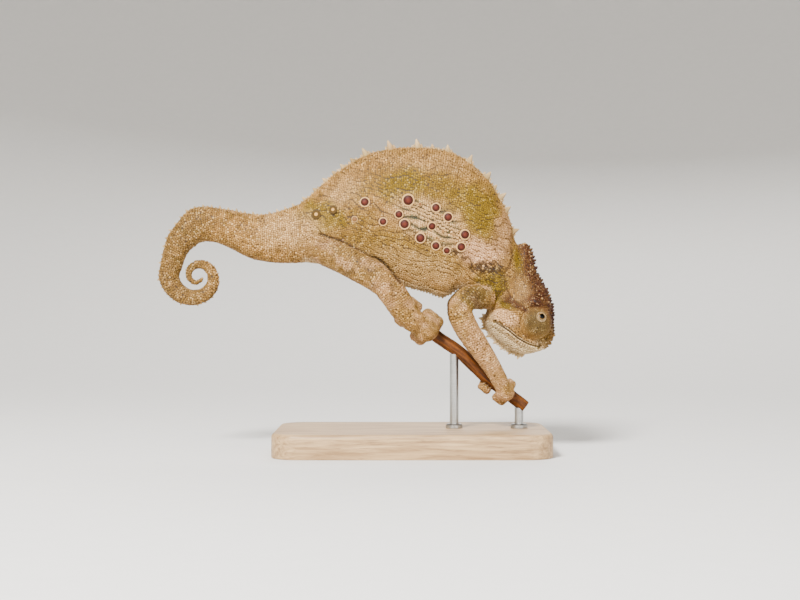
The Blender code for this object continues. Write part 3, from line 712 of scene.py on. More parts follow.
class Form:
    """One closed form of the body as rings of points, with the spacing of its scales."""

    def __init__(self, name, part, grid, spacing):
        self.name = name
        self.part = part
        self.grid = grid
        self.spacing = spacing

    def into(self, form):
        """Adds the form as a closed surface to a bmesh, in metres."""
        rings = [[form.verts.new(place * MM) for place in ring] for ring in self.grid]
        sides = len(rings[0])
        for ring, following in zip(rings, rings[1:]):
            for k in range(sides):
                j = (k + 1) % sides
                form.faces.new((ring[k], ring[j], following[j], following[k]))
        form.faces.new(rings[0][::-1])
        form.faces.new(rings[-1])

    def scale_places(self):
        """Places scale roots in rings over the form: place, way along, and the shares along and round it."""
        middle = self.grid.mean(axis=1)
        steps = np.linalg.norm(np.diff(self.grid, axis=0), axis=2).mean(axis=1)
        run = np.concatenate([[0.0], np.cumsum(steps)])
        count = max(int(run[-1] / self.spacing), 1)
        found = []
        for number in range(count):
            where = (number + 0.5) / count * run[-1]
            low = min(int(np.searchsorted(run, where)) - 1, len(run) - 2)
            part = (where - run[low]) / (run[low + 1] - run[low])
            ring = self.grid[low] * (1 - part) + self.grid[low + 1] * part
            closed = np.vstack([ring, ring[:1]])
            round_run = lengths_along(closed)
            around = max(int(round_run[-1] / self.spacing), 3)
            spots = (np.arange(around) + 0.5 * (number % 2)) / around
            spots = (spots + draw.uniform(-STRAY, STRAY, around) / around) % 1.0
            reach = spots * round_run[-1]
            places = np.stack([np.interp(reach, round_run, closed[:, axis]) for axis in range(3)], axis=1)
            ahead = unit(middle[low + 1] - middle[low])
            places = places + np.outer(draw.uniform(-STRAY, STRAY, around) * self.spacing, ahead)
            found += [(place, ahead, where / run[-1], spot) for place, spot in zip(places, spots)]
        return found


def body_forms(sizes):
    """Lists every form of flesh with the spacing of its scales."""
    tail = tail_rows()
    trunk = smooth_rows([TAIL_ROWS[-1], *TORSO_ROWS, *NECK_ROWS], ROW_STEPS)[ROW_STEPS:]
    blend = np.clip(np.linspace(-2.5, 1.0, len(tail)), 0, 1)
    tail_edges = [np.array(TAIL_EDGES) * (1 - b) + np.array(BODY_EDGES) * b for b in blend]
    body = section_grid([*tail, *trunk[1:]], [*tail_edges, *([BODY_EDGES] * (len(trunk) - 1))])
    split = len(tail)
    head_rows = smooth_rows(HEAD_ROWS, ROW_STEPS)
    head = section_grid(head_rows, [HEAD_EDGES] * len(head_rows))
    forms = [
        Form("tail", "tail", body[:split + 1], sizes.tail_scale),
        Form("trunk", "trunk", body[split:], sizes.trunk_scale),
        Form("head", "head", head, sizes.head_scale),
    ]
    for side in (-1, 1):
        end = "_right" if side < 0 else "_left"
        flip = list if side < 0 else mirrored
        limbs = "limbs" + end
        for name, rows in LIMBS.items():
            fine = round_off([tuple(row) for row in smooth_rows(flip(rows), 5)])
            forms.append(Form(name + end, limbs, tube_grid(fine), sizes.limb_scale))
        for foot, leg in (("hand", FOREARM), ("foot", SHANK)):
            name = foot + end
            place, palm = palm_place(name), GRIPS[name][3]
            wrist = smooth_rows([flip(leg)[-1], (*place, palm[1])], 5)
            forms.append(Form("wrist_" + name, limbs, tube_grid(wrist), sizes.limb_scale * 0.85))
            forms.append(Form(name, limbs, ball_grid(place, palm, ACROSS * side), sizes.foot_scale))
            for number, toe in enumerate(toe_rows(name)):
                rows = round_off([tuple(row) for row in toe])
                forms.append(Form(f"toe_{name}_{number}", limbs, tube_grid(rows, 24), sizes.foot_scale))
        centre = TURRET_CENTRE * (1, side, 1)
        forms.append(Form("turret" + end, "head", ball_grid(
            centre, [TURRET_RADIUS] * 3, GAZE * (1, side, 1), rings=40), sizes.turret_scale))
    return forms


def new_object(name, mesh):
    """Puts a mesh into the scene."""
    piece = bpy.data.objects.new(name, mesh)
    bpy.context.scene.collection.objects.link(piece)
    return piece


def evaluated(piece):
    """Takes an object's mesh with its modifiers done, as a plain mesh."""
    graph = bpy.context.evaluated_depsgraph_get()
    mesh = bpy.data.meshes.new_from_object(piece.evaluated_get(graph))
    piece.modifiers.clear()
    piece.data = mesh
    return mesh


def finish_piece(piece, material, nodes=()):
    """Gives a piece its material and tells the frame what it rides on and replaces."""
    if material is not None:
        piece.data.materials.clear()
        piece.data.materials.append(material)
    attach(piece, "root")
    if nodes:
        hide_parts(*nodes)


def mesh_of(name, form):
    """Turns a bmesh into a mesh and frees it."""
    mesh = bpy.data.meshes.new(name)
    form.to_mesh(mesh)
    form.free()
    return mesh


def places_of(mesh):
    """Reads a mesh's points as an array in millimetres."""
    flat = np.empty(len(mesh.vertices) * 3)
    mesh.vertices.foreach_get("co", flat)
    return flat.reshape(-1, 3) / MM


def directions_of(mesh):
    """Reads a mesh's normals at its points."""
    flat = np.empty(len(mesh.vertices) * 3)
    mesh.vertex_normals.foreach_get("vector", flat)
    return flat.reshape(-1, 3)


def store(mesh, name, values, kind="FLOAT", domain="POINT"):
    """Keeps values on a mesh as a named layer."""
    layer = mesh.attributes.new(name, kind, domain)
    field = {"FLOAT": "value", "FLOAT_VECTOR": "vector", "FLOAT_COLOR": "color"}[kind]
    layer.data.foreach_set(field, np.asarray(values, dtype=np.float32).ravel())


def nearest_skin(place):
    """Finds the nearest place on the skin, the skin's direction there and how far away it is."""
    landed, normal, _, distance = made["tree"].find_nearest(Vector(place * MM))
    return np.array(landed) / MM, np.array(normal), distance / MM


def onto_skin(places):
    """Lands places on the skin, and gives them with the skin's directions there."""
    hits = [nearest_skin(place) for place in places]
    return np.array([hit[0] for hit in hits]), np.array([hit[1] for hit in hits])


def surface_at(x, z, side):
    """Finds the skin at x and z on the right (-1) or left (1) side."""
    start = Vector((x, 40.0 * side, z)) * MM
    landed, normal, _, _ = made["tree"].ray_cast(start, Vector((0, -side, 0)))
    return np.array(landed) / MM, np.array(normal)


# Markings

def oval(places, x, z, wide, high, tilt=0.0):
    """Measures places against an oval in the side view: 0 in its middle and 1 on its edge."""
    turn = math.radians(tilt)
    right = (places[:, 0] - x) * math.cos(turn) + (places[:, 2] - z) * math.sin(turn)
    up = (places[:, 2] - z) * math.cos(turn) - (places[:, 0] - x) * math.sin(turn)
    return np.hypot(right / wide, up / high)


def blob(places, x, z, wide, high, tilt=0.0, edge=2.0):
    """Gives a soft oval patch seen from the side: 1 in the middle and 0 outside."""
    return np.exp(-(oval(places, x, z, wide, high, tilt) ** 2) ** edge)


def patches(places, table):
    """Gives the strongest of a table of soft patches."""
    return np.maximum.reduce([row[0] * blob(places, *row[1:]) for row in table])


def from_line(places, line, steps=4):
    """Measures how far places are from a smooth line in the side view."""
    fine = smooth_rows(line, steps)
    near = np.full(len(places), 1e9)
    flat = places[:, (0, 2)]
    for start, end in zip(fine, fine[1:]):
        way = end - start
        along = np.clip(((flat - start) @ way) / (way @ way), 0, 1)
        near = np.minimum(near, np.linalg.norm(flat - start - np.outer(along, way), axis=1))
    return near


def beside(places, line, wide):
    """Marks a narrow line in the side view: 1 on it and 0 beside it."""
    return np.exp(-(from_line(places, line) / wide) ** 2)


def wander(places, size, seed):
    """Gives a smooth uneven value from -1 to 1, as the sum of a few waves about size millimetres long."""
    waves = np.random.default_rng(seed)
    total = np.zeros(len(places))
    for _ in range(6):
        way = unit(waves.normal(size=3)) * waves.uniform(0.6, 1.6) * 2 * math.pi / size
        total += np.sin(places @ way + waves.uniform(0, 2 * math.pi))
    return total / 3.2


def side_of_head(places):
    """Tells the head from the rest: 1 on the head, 0 behind it."""
    rear = smooth_rows([(row[2], row[3]) for row in HEAD_ROWS[:6]], 3)
    limit = np.interp(places[:, 2], rear[::-1, 1], rear[::-1, 0], left=32.0, right=43.0)
    return ((places[:, 0] > limit - 0.2) & (places[:, 2] < 52.8) & (np.abs(places[:, 1]) < 9.5)).astype(float)


def wave_phase(places):
    """Gives the phase of the wavy rows that the skin of the trunk lies in."""
    bend = 1.6 * wander(places, 9.0, 21) + 0.4 * wander(places, 3.0, 22)
    return (places[:, 2] + 0.35 * places[:, 0] + bend) * 2 * math.pi / FURROW_SPACING


def furrow_strength(places):
    """Tells how clear the furrows are at some places, from 0 to 1."""
    broken = 0.7 * np.clip(0.7 + 0.6 * wander(places, 4.0, 23), 0, 1)
    return np.maximum(broken, 0.9 * blob(places, *PALE_FLANK))


def furrows(places, start=1.2):
    """Marks the fine furrows between the wavy rows: 1 in a furrow and 0 beside it."""
    return np.clip(-np.sin(wave_phase(places)) * 2.4 - start, 0, 1) * furrow_strength(places)


def beside_furrows(places):
    """Moves the scales of the trunk off the furrows, and lands them on the skin again."""
    turns = (wave_phase(places) / (2 * math.pi) + 0.25 + 0.5) % 1.0 - 0.5
    off = turns * FURROW_SPACING
    step = np.sign(off) * np.clip(FURROW_HALF_WIDTH - np.abs(off), 0, None) * furrow_strength(places)
    return onto_skin(places + step[:, None] * unit((0.35, 0.0, 1.0)))


def aperture_place(side):
    """Finds the middle of the opening of the eye on one side."""
    centre = TURRET_CENTRE * (1, side, 1)
    return centre + unit(GAZE * (1, side, 1)) * TURRET_RADIUS


class Markings:
    """The masks of the markings at some places, by formulas in the side view."""

    def __init__(self, places, part):
        self.places = places
        self.rough = places + np.stack([wander(places, 5.0, seed) for seed in (1, 2, 3)], axis=1) * 0.9
        self.head = side_of_head(places) if part in ("head", "skin") else np.zeros(len(places))
        self.limb = np.full(len(places), float(part.startswith("limbs")))
        if part == "skin":
            self.limb = (np.abs(places[:, 1]) > 6.75) * (1 - self.head)
        self.body = (1 - self.head) * (1 - self.limb)
        self.fine = wander(places, 1.8, 4)
        self.bulge = np.clip(1.25 - oval(places, *JAW_BULGE), 0, 0.25) / 0.25 * self.head
        # The furrows off the pale flank: the olive and brown laid in them are partly a tinge of the skin and
        # partly painted shade in the creases.
        self.plain_furrows = furrows(places) * self.body * (1 - blob(places, *PALE_FLANK))

    def masks(self):
        """Gives all masks side by side, in the order of MARKS."""
        return np.clip(np.stack([getattr(self, name)() for name in MARKS], axis=1), 0, 1)

    def olive(self):
        """Olive patches of the flank, nape, snout, shoulder and thigh, partly painted shade over the upper
        arm, and a tinge in the furrows that partly stands for painted shade in the creases.
        """
        return np.maximum.reduce([
            self.body * patches(self.rough, TRUNK_OLIVE),
            (1 - self.limb) * blob(self.places, 40.4, 48.0, 1.5, 3.4, 4),
            (1 - self.limb) * blob(self.rough, 37.3, 37.0, 2.4, 1.6, -25),
            0.45 * self.head * blob(self.rough, 46.8, 29.6, 2.4, 3.0),
            0.3 * self.limb * np.clip(wander(self.places, 6.0, 9) + 0.2, 0, 1),
            # Olive over the upper arm: partly its own tinge, partly painted shade between the arm and the
            # head.
            0.9 * self.limb * blob(self.rough, 29.3, 38.4, 4.6, 3.8),
            0.32 * self.limb * blob(self.rough, -1.5, 48.4, 8.0, 5.5, -25),
            # Olive in the furrows: partly a tinge, partly painted shade in the creases.
            0.5 * self.plain_furrows,
        ])

    def pale(self):
        """Pale flank, belly and back, a pale temple and the bulge of the jaw."""
        return np.maximum.reduce([
            self.body * patches(self.rough, TRUNK_PALE),
            0.25 * self.head * blob(self.rough, 41.4, 40.0, 1.8, 3.0, 12),
            0.1 * self.limb,
            0.7 * self.bulge,
        ])

    def pink(self):
        """Pink shoulder, a pink tinge on the jaw, and clouds on the limbs."""
        return np.maximum.reduce([
            self.body * patches(self.rough, TRUNK_PINK),
            0.45 * self.bulge,
            0.45 * self.limb * np.clip(wander(self.places, 4.0, 12) + 0.2, 0, 1),
            0.4 * self.limb * blob(self.places, 33.0, 28.0, 6.0, 9.0, 0, 4),
        ])

    def brown(self):
        """Dark specks in bands on the trunk, painted shade in the nape and thigh folds, partly painted shade
        over the upper arm and in the furrows, and clouds on the head and upper limbs.
        """
        places, rough = self.places, self.rough
        speck = wander(places, 0.9, 5)
        nape = beside(places, FOLDS["nape"][0], 0.36) * (np.abs(places[:, 1]) > 2) * (places[:, 2] < 51)
        clouds = np.clip(wander(rough, 3.4, 31) + 0.1, 0, 1) * np.clip((places[:, 2] - 34) / 8, 0, 1)
        specks = [self.body * patches(places, [row[:-1]]) * (speck > row[-1]) for row in TRUNK_SPECKS]
        return np.maximum.reduce([
            *specks,
            # Painted shade in the nape fold.
            0.7 * nape * (1 - self.limb),
            0.4 * (1 - self.limb) * blob(rough, 38.0, 37.4, 3.0, 1.8, -25),
            # Brown over the upper arm: partly its own colour, partly painted shade between the arm and the
            # head.
            0.65 * self.limb * blob(rough, 29.8, 38.6, 4.0, 3.2),
            0.2 * self.limb * np.clip((places[:, 2] - 40) / 8, 0, 1),
            0.5 * self.limb * clouds,
            0.25 * self.head * blob(rough, 42.2, 35.0, 4.2, 2.6, -30),
            0.3 * self.head * blob(rough, 42.0, 40.5, 4.0, 8.0, 15, 3),
            0.35 * self.head * np.exp(-((oval(places, *JAW_BULGE) - 1.25) / 0.12) ** 2),
            0.12 * self.body * blob(rough, 37.0, 49.0, 3.0, 8.0, 0, 3),
            # Painted shade in the thigh fold.
            0.9 * (1 - self.head) * beside(places, FOLDS["thigh"][0], 0.4),
            0.1 * np.clip(self.fine, 0, 1),
            # Brown in the furrows: partly a tinge, partly painted shade in the creases.
            0.2 * self.plain_furrows,
        ])

    def lid_grey(self):
        """Grey olive of the eyelids."""
        away = np.linalg.norm((self.places - TURRET_CENTRE) * (1, 0, 1), axis=1)
        return 0.9 * self.head * np.exp(-(away / 3.2) ** 6) * (np.abs(self.places[:, 1]) > 4.5)

    def rust(self):
        """Red brown of the casque, brow and snout, and of the stripe behind the eye."""
        top = from_line(self.places, [(row[0], row[1]) for row in HEAD_ROWS])
        casque = self.head * np.maximum.reduce([
            np.exp(-(top / 3.2) ** 4) * (0.9 + 0.1 * np.clip(self.fine, -1, 1)),
            0.9 * blob(self.rough, 45.2, 38.0, 3.4, 3.2, -20),
            0.15 * blob(self.rough, 47.3, 29.5, 2.2, 3.4),
        ])
        casque *= (1 - 0.8 * blob(self.places, 47.0, 28.6, 3.2, 3.2, -20, 3)) * (1 - 0.85 * self.lid_grey())
        return np.maximum(casque, 0.75 * (1 - self.limb) * blob(self.rough, 39.9, 36.5, 3.8, 1.1, -40, 3))

    def grey(self):
        """Grey olive of the eyelids, and painted shade on the tail's curled end."""
        # The tail's curled end is greyed as painted shade.
        return np.maximum(self.lid_grey(), 0.42 * np.clip((-32 - self.places[:, 0]) / 8, 0, 1))

    def white(self):
        """Cream throat and lower lip, edge of the belly and rim of the eyelids."""
        places = self.places
        lip = np.interp(places[:, 0], [x for x, _ in MOUTH], [z for _, z in MOUTH])
        strength = np.where(places[:, 2] < lip, 1.0, 0.35)
        throat = np.exp(-(from_line(places, WHITE_THROAT) / 2.9) ** 4) * strength
        belly = beside(places, [(row[2], row[3]) for row in TORSO_ROWS], 1.0)
        rim = np.minimum.reduce([np.linalg.norm(places - aperture_place(side), axis=1) for side in (-1, 1)])
        return np.maximum.reduce([
            self.head * throat,
            0.6 * self.body * belly,
            0.4 * np.exp(-((rim - 1.0) / 0.2) ** 2),
        ])

    def teal(self):
        """Thin blue green lines in the furrows of the pale flank."""
        return blob(self.places, *PALE_FLANK) * furrows(self.places, -0.4) * self.body


def relief(places):
    """Works out how far the skin stands out (or in) at folds, ridges, the mouth, nostrils and eyelids."""
    head = side_of_head(places)
    flank = (np.abs(places[:, 1]) > 1.6).astype(float)
    height = np.zeros(len(places))
    for line, depth, wide in FOLDS.values():
        height -= flank * depth * beside(places, line, wide)
    for line, rise, wide in RIDGES.values():
        height += flank * head * rise * beside(places, line, wide)
    height -= head * flank * 0.3 * blob(places, 41.0, 41.0, 1.4, 3.0, 12)
    bulge = oval(places, *JAW_BULGE)
    height += head * 0.3 * np.clip(1.15 - bulge, 0, 0.6) / 0.6
    height -= head * 0.25 * np.exp(-((bulge - 1.2) / 0.14) ** 2)
    mouth = from_line(places, MOUTH[1:-1])
    nostril = np.hypot(places[:, 0] - NOSTRIL[0], places[:, 2] - NOSTRIL[1])
    height -= head * (0.34 * np.exp(-(mouth / 0.3) ** 2) + 0.5 * np.exp(-(nostril / 0.42) ** 4))
    height += head * 0.22 * np.exp(-((mouth - 0.7) / 0.35) ** 2)
    for side in (-1, 1):
        away = np.linalg.norm(places - TURRET_CENTRE * (1, side, 1), axis=1)
        height -= 0.35 * np.exp(-((away - 4.45) / 0.3) ** 2) * (places[:, 1] * side > 4.3)
    wrinkled = np.maximum.reduce([
        0.12 * blob(places, *PALE_FLANK),
        0.12 * blob(places, 34.0, 52.0, 5.0, 12.0, -15, 3),
        0.12 * blob(places, -8.0, 56.0, 7.0, 6.0),
        np.full(len(places), 0.04),
    ]) * (1 - head)
    return height + wrinkled * np.sin(wave_phase(places))


def store_markings(mesh, masks, shade):
    """Keeps the masks on a mesh as three colour layers, eight masks and a lightness."""
    table = np.concatenate([masks, shade[:, None]], axis=1)
    for number, name in enumerate(MARK_LAYERS):
        colours = np.ones((len(table), 4))
        colours[:, :3] = table[:, number * 3:number * 3 + 3]
        store(mesh, name, colours, "FLOAT_COLOR")


# Small shapes that repeat

def turned_template(name, profile, sides, bend=0.0):
    """Makes a small closed form from a profile of radius and height, which may bend back."""
    form = bmesh.new()
    rings = []
    for radius, height in profile:
        if radius == 0:
            rings.append([form.verts.new((-bend * height ** 2, 0, height))])
            continue
        rings.append([form.verts.new((
            radius * math.cos(2 * math.pi * k / sides) - bend * max(height, 0) ** 2,
            radius * math.sin(2 * math.pi * k / sides), height)) for k in range(sides)])
    for ring, following in zip(rings, rings[1:]):
        for k in range(sides):
            j = (k + 1) % sides
            if len(following) == 1:
                form.faces.new((ring[k], ring[j], following[0]))
            else:
                form.faces.new((ring[k], ring[j], following[j], following[k]))
    form.faces.new(rings[0][::-1])
    return mesh_of(name, form)


# Each small form: its profile of radius and height from the root to the tip, its sides and its bend.
TEMPLATES = {
    "granule": (((1.06, -0.4), (1.02, 0.08), (0.76, 0.36), (0, 0.46)), 6, 0.0),
    "tubercle": (((0.95, -0.6), (1.0, 0.0), (0.86, 0.38), (0.58, 0.74), (0.26, 0.95), (0, 1.0)), 8, 0.12),
    "spine": (((0.9, -0.6), (1.0, 0.0), (0.8, 0.2), (0.58, 0.44), (0.36, 0.68), (0.15, 0.9), (0, 1.0)),
              10, 0.14),
    "lobe": (((0.85, -0.5), (1.0, 0.0), (0.9, 0.3), (0.62, 0.6), (0.28, 0.88), (0, 1.0)), 8, 0.1),
    "scute": (((0.96, -0.7), (1.02, 0.0), (0.97, 0.14), (0.88, 0.18), (0.81, 0.12), (0.74, 0.16),
               (0.45, 0.3), (0.2, 0.36), (0, 0.37)), 20, 0.0),
    "claw": (((0.9, -0.4), (1.0, 0.0), (0.78, 0.35), (0.5, 0.7), (0.2, 0.95), (0, 1.02)), 8, -0.45),
}
TURNING_LAYERS = ("aim", "lie", "extent")


def placing_tree(material):
    """Builds the node group that sets a turned and sized copy of a small form on every point."""
    tree = bpy.data.node_groups.new("set_on_points", "GeometryNodeTree")
    tree.interface.new_socket("Points", in_out="INPUT", socket_type="NodeSocketGeometry")
    tree.interface.new_socket("Small form", in_out="INPUT", socket_type="NodeSocketObject")
    tree.interface.new_socket("Size", in_out="INPUT", socket_type="NodeSocketFloat")
    tree.interface.new_socket("Mesh", in_out="OUTPUT", socket_type="NodeSocketGeometry")
    source = add(tree, "NodeGroupInput")
    vectors = {}
    for name in TURNING_LAYERS:
        read = add(tree, "GeometryNodeInputNamedAttribute", {"data_type": "FLOAT_VECTOR"}, {"Name": name})
        vectors[name] = read.outputs["Attribute"]
    turn = add(tree, "FunctionNodeAxesToRotation", {"primary_axis": "Z", "secondary_axis": "X"}, {
        "Primary Axis": vectors["aim"], "Secondary Axis": vectors["lie"]})
    scale = add(tree, "ShaderNodeVectorMath", {"operation": "SCALE"}, {
        0: vectors["extent"], "Scale": source.outputs["Size"]})
    form = add(tree, "GeometryNodeObjectInfo", {}, {"Object": source.outputs["Small form"]})
    copies = add(tree, "GeometryNodeInstanceOnPoints", {}, {
        "Points": source.outputs["Points"], "Instance": form.outputs["Geometry"],
        "Rotation": turn.outputs["Rotation"], "Scale": scale.outputs["Vector"]})
    real = add(tree, "GeometryNodeRealizeInstances", {}, {"Geometry": copies.outputs["Instances"]})
    dressed = add(tree, "GeometryNodeSetMaterial", {}, {
        "Geometry": real.outputs["Geometry"], "Material": material})
    add(tree, "NodeGroupOutput", {}, {"Mesh": dressed.outputs["Geometry"]})
    return tree


def set_small_forms(name, template_name, roots, material, extras=None):
    """Sets a small form at each root, as one plain mesh piece with markings and its bake map."""
    profile, sides, bend = TEMPLATES[template_name]
    template = turned_template(template_name, profile, sides, bend)
    mesh = bpy.data.meshes.new(name)
    mesh.from_pydata([tuple(place) for place in roots["place"] * MM], [], [])
    for key in TURNING_LAYERS:
        store(mesh, key, roots[key], "FLOAT_VECTOR")
    piece = new_object(name, mesh)
    small = new_object(template_name + "_template", template)
    tree = placing_tree(material)
    step = piece.modifiers.new("set_on_points", "NODES")
    step.node_group = tree
    sockets = {item.name: item.identifier for item in tree.interface.items_tree if item.in_out == "INPUT"}
    step[sockets["Small form"]] = small
    step[sockets["Size"]] = MM
    result = evaluated(piece)
    bpy.data.objects.remove(small, do_unlink=True)
    for key in TURNING_LAYERS:
        if key in result.attributes:
            result.attributes.remove(result.attributes[key])
    owner = np.repeat(np.arange(len(roots["place"])), len(template.vertices))
    if "marks" in roots:
        tall = max(height for _, height in profile)
        # Each scale is painted darker at its root and lighter towards its crown: painted shade in the
        # crevices and painted light on the tops.
        painted_shade_by_height = np.array([0.35 + 0.65 * max(vertex.co.z, 0) / tall for vertex in template.vertices])
        shade = roots["shade"][owner] * np.tile(painted_shade_by_height, len(roots["place"]))
        store_markings(result, roots["marks"][owner], shade)
    for key, values in (extras or {}).items():
        store(result, key, values)
    bake_map(result, roots["unwrap"], owner, template)
    result.shade_smooth()
    finish_piece(piece, None)


def bake_map(mesh, unwrap, owner, template):
    """Maps each small form to a patch of its own, at its root's place on the unwrap of the body."""
    flat = np.array([vertex.co[:] for vertex in template.vertices])
    local = flat[:, :2] / np.abs(flat[:, :2]).max() * (1 - 0.25 * flat[:, 2:3])
    copies = len(owner) // len(flat)
    at = unwrap[owner] + np.tile(local, (copies, 1)) * PATCH / 2
    corner = np.empty(len(mesh.loops), dtype=np.int32)
    mesh.loops.foreach_get("vertex_index", corner)
    layer = mesh.uv_layers.new(name="OFBake")
    layer.data.foreach_set("uv", at[corner].astype(np.float32).ravel())


def in_grid(count, columns, lines, margin):
    """Spreads the patches of a few small forms over the unwrap, in lines and columns."""
    number = np.arange(count)
    share = np.stack([number % columns / columns, number // columns / lines], axis=1)
    return margin + (1 - 2 * margin) * share


def roots_from(rows, part):
    """Turns a list of scale rows into arrays, with markings and each scale's own lightness."""
    keys = ("place", *TURNING_LAYERS, "unwrap")
    roots = {key: np.array([row[n] for row in rows]) for n, key in enumerate(keys)}
    roots["marks"] = Markings(roots["place"], part).masks()
    cloud = 0.1 * wander(roots["place"], 2.6, 41) + 0.06 * wander(roots["place"], 1.1, 42)
    spread = 0.1 if part in ("trunk", "head") else 0.15
    roots["shade"] = np.clip(draw.normal(0.66, spread, len(rows)) + cloud, 0.05, 1.0)
    if part == "trunk":
        furrow = furrows(roots["place"])
        # The scales in the furrows are painted darker as painted shade in the creases, and made lower.
        roots["shade"] *= 1 - 0.45 * furrow
        roots["extent"][:, 2] *= 1 - 0.45 * furrow
    return roots


class Spacing:
    """Keeps scales from crowding each other."""

    def __init__(self, cell=0.6):
        self.cell = cell
        self.cells = {}

    def free(self, place, reach):
        """Tells whether nothing lies within reach of a place, and takes the place if so."""
        home = tuple((place // self.cell).astype(int))
        for i in (-1, 0, 1):
            for j in (-1, 0, 1):
                for k in (-1, 0, 1):
                    for other in self.cells.get((home[0] + i, home[1] + j, home[2] + k), ()):
                        if np.dot(place - other, place - other) < reach * reach:
                            return False
        self.cells.setdefault(home, []).append(place)
        return True


# Settings

class ChameleonSizes(bpy.types.PropertyGroup):
    """Sizes in millimetres that a user would change."""

    voxel: FloatProperty(name="Skin fineness", description="Width of a skin facet, mm", default=0.365)
    trunk_scale: FloatProperty(name="Trunk scales", description="Spacing of trunk scales, mm", default=0.52)
    tail_scale: FloatProperty(name="Tail scales", description="Spacing of tail scales, mm", default=0.54)
    head_scale: FloatProperty(name="Head scales", description="Spacing of head scales, mm", default=0.48)
    limb_scale: FloatProperty(name="Limb scales", description="Spacing of limb scales, mm", default=0.54)
    foot_scale: FloatProperty(name="Foot scales", description="Spacing of foot scales, mm", default=0.48)
    turret_scale: FloatProperty(name="Lid scales", description="Spacing of lid scales, mm", default=0.42)
    smoothing: IntProperty(name="Skin smoothing", description="Smoothing passes over the skin", default=8)


class ChameleonColours(bpy.types.PropertyGroup):
    """Colours of the animal."""

    ground: FloatVectorProperty(name="Ground", description="Darker ground colour", subtype="COLOR",
                                default=linear("#7f5c2a"))
    ground_light: FloatVectorProperty(name="Light ground", description="Lighter ground colour",
                                      subtype="COLOR", default=linear("#b4874a"))
    olive: FloatVectorProperty(name="Olive", description="Olive patches", subtype="COLOR",
                               default=linear("#7c6200"))
    pale: FloatVectorProperty(name="Pale", description="Pale band on the flank", subtype="COLOR",
                              default=linear("#d6ac78"))
    pink: FloatVectorProperty(name="Pink", description="Pink shoulder patch", subtype="COLOR",
                              default=linear("#d8a780"))
    brown: FloatVectorProperty(name="Brown", description="Dark specks and the stripe behind the eye",
                               subtype="COLOR", default=linear("#331e09"))
    rust: FloatVectorProperty(name="Rust", description="Red brown of the casque and brow", subtype="COLOR",
                              default=linear("#48200a"))
    # Grey olive of the eyelids, also laid on the tail's curled end as painted shade.
    grey: FloatVectorProperty(name="Grey olive", description="Eyelids", subtype="COLOR",
                              default=linear("#58451f"))
    white: FloatVectorProperty(name="White", description="Throat, belly edge and crest", subtype="COLOR",
                               default=linear("#dcc199"))
    teal: FloatVectorProperty(name="Blue green", description="Thin lines on the flank", subtype="COLOR",
                              default=linear("#2a4030"))
    # Darkens the skin between the scales: partly its own colour, partly painted shade in the crevices.
    between: FloatVectorProperty(name="Between", description="Darkening of the skin between scales",
                                 subtype="COLOR", default=linear("#75693a"))
    # Darkens dark scales and the base of every scale: partly darker scales, partly painted shade.
    scale_shadow: FloatVectorProperty(name="Dark scale", description="Darkening of the darkest scales",
                                      subtype="COLOR", default=linear("#958a55"))
    # Tints the crowns of the lightest scales: partly pale scale tips, partly a painted highlight.
    scale_light: FloatVectorProperty(name="Light scale", description="Tint of the lightest scales",
                                     subtype="COLOR", default=linear("#edcf96"))
    maroon: FloatVectorProperty(name="Maroon", description="Middle of a flank scute", subtype="COLOR",
                                default=linear("#552214"))
    # Dark maroon at the rim of a scute's middle: painted shade.
    maroon_dark: FloatVectorProperty(name="Dark maroon", description="Dark middle of a flank scute",
                                     subtype="COLOR", default=linear("#1e0805"))
    ring: FloatVectorProperty(name="Ring", description="Pale ring of a flank scute", subtype="COLOR",
                              default=linear("#b98f5a"))


# Steps

def spun(profile, x, steps, weld):
    """Turns a profile of radius and height round the upright line at x, in metres."""
    form = bmesh.new()
    points = [form.verts.new((x + radius, 0, height)) for radius, height in profile]
    edges = [form.edges.new(pair) for pair in zip(points, points[1:])]
    bmesh.ops.spin(form, geom=[*points, *edges], cent=(x, 0, 0), axis=(0, 0, 1), angle=2 * math.pi,
                   steps=steps)
    bmesh.ops.remove_doubles(form, verts=form.verts, dist=weld)
    bmesh.ops.recalc_face_normals(form, faces=form.faces)
    return form


class CHAMELEON_OT_stage(bpy.types.Operator):
    """Sets the camera, the soft studio lights and the pale floor"""

    bl_idname = "chameleon.stage"
    bl_label = "Camera, lights and floor"

    def execute(self, context):
        camera = bpy.data.cameras.new("camera")
        camera.sensor_width = SENSOR_WIDTH
        camera.lens = SENSOR_WIDTH * CAMERA_DISTANCE / (IMAGE_WIDTH_PX * MM_PER_PX)
        camera.clip_start = 0.01
        holder = new_object("camera", camera)
        holder.location = (Vector(CAMERA_AIM) - Vector((0, CAMERA_DISTANCE, 0))) * MM
        holder.rotation_euler = (math.pi / 2, 0, 0)
        context.scene.camera = holder
        for name, (place, size, power) in LAMPS.items():
            lamp = bpy.data.lights.new(name, "AREA")
            lamp.size = size
            lamp.energy = power
            light = new_object(name, lamp)
            light.location = place
            aim = Vector(LAMP_AIM) - Vector(place)
            light.rotation_euler = aim.to_track_quat("-Z", "Y").to_euler()
        world = bpy.data.worlds.new("soft_room")
        world.use_nodes = True
        background = world.node_tree.nodes["Background"]
        background.inputs["Color"].default_value = tone("#f2efea")
        background.inputs["Strength"].default_value = ROOM_LIGHT
        context.scene.world = world
        profile = [(0.0, 0.0), (SWEEP_FLAT, 0.0)]
        for step in range(1, SWEEP_STEPS + 1):
            turn = math.radians(90 * step / SWEEP_STEPS)
            profile.append((SWEEP_FLAT + SWEEP_BEND * math.sin(turn), SWEEP_BEND * (1 - math.cos(turn))))
        profile.append((SWEEP_FLAT + SWEEP_BEND, SWEEP_HEIGHT))
        form = spun(profile, 0.0, 96, 1e-5)
        bmesh.ops.reverse_faces(form, faces=form.faces)
        mesh = mesh_of("floor", form)
        mesh.shade_smooth()
        floor = new_object("floor", mesh)
        floor.data.materials.append(floor_material())
        return {"FINISHED"}


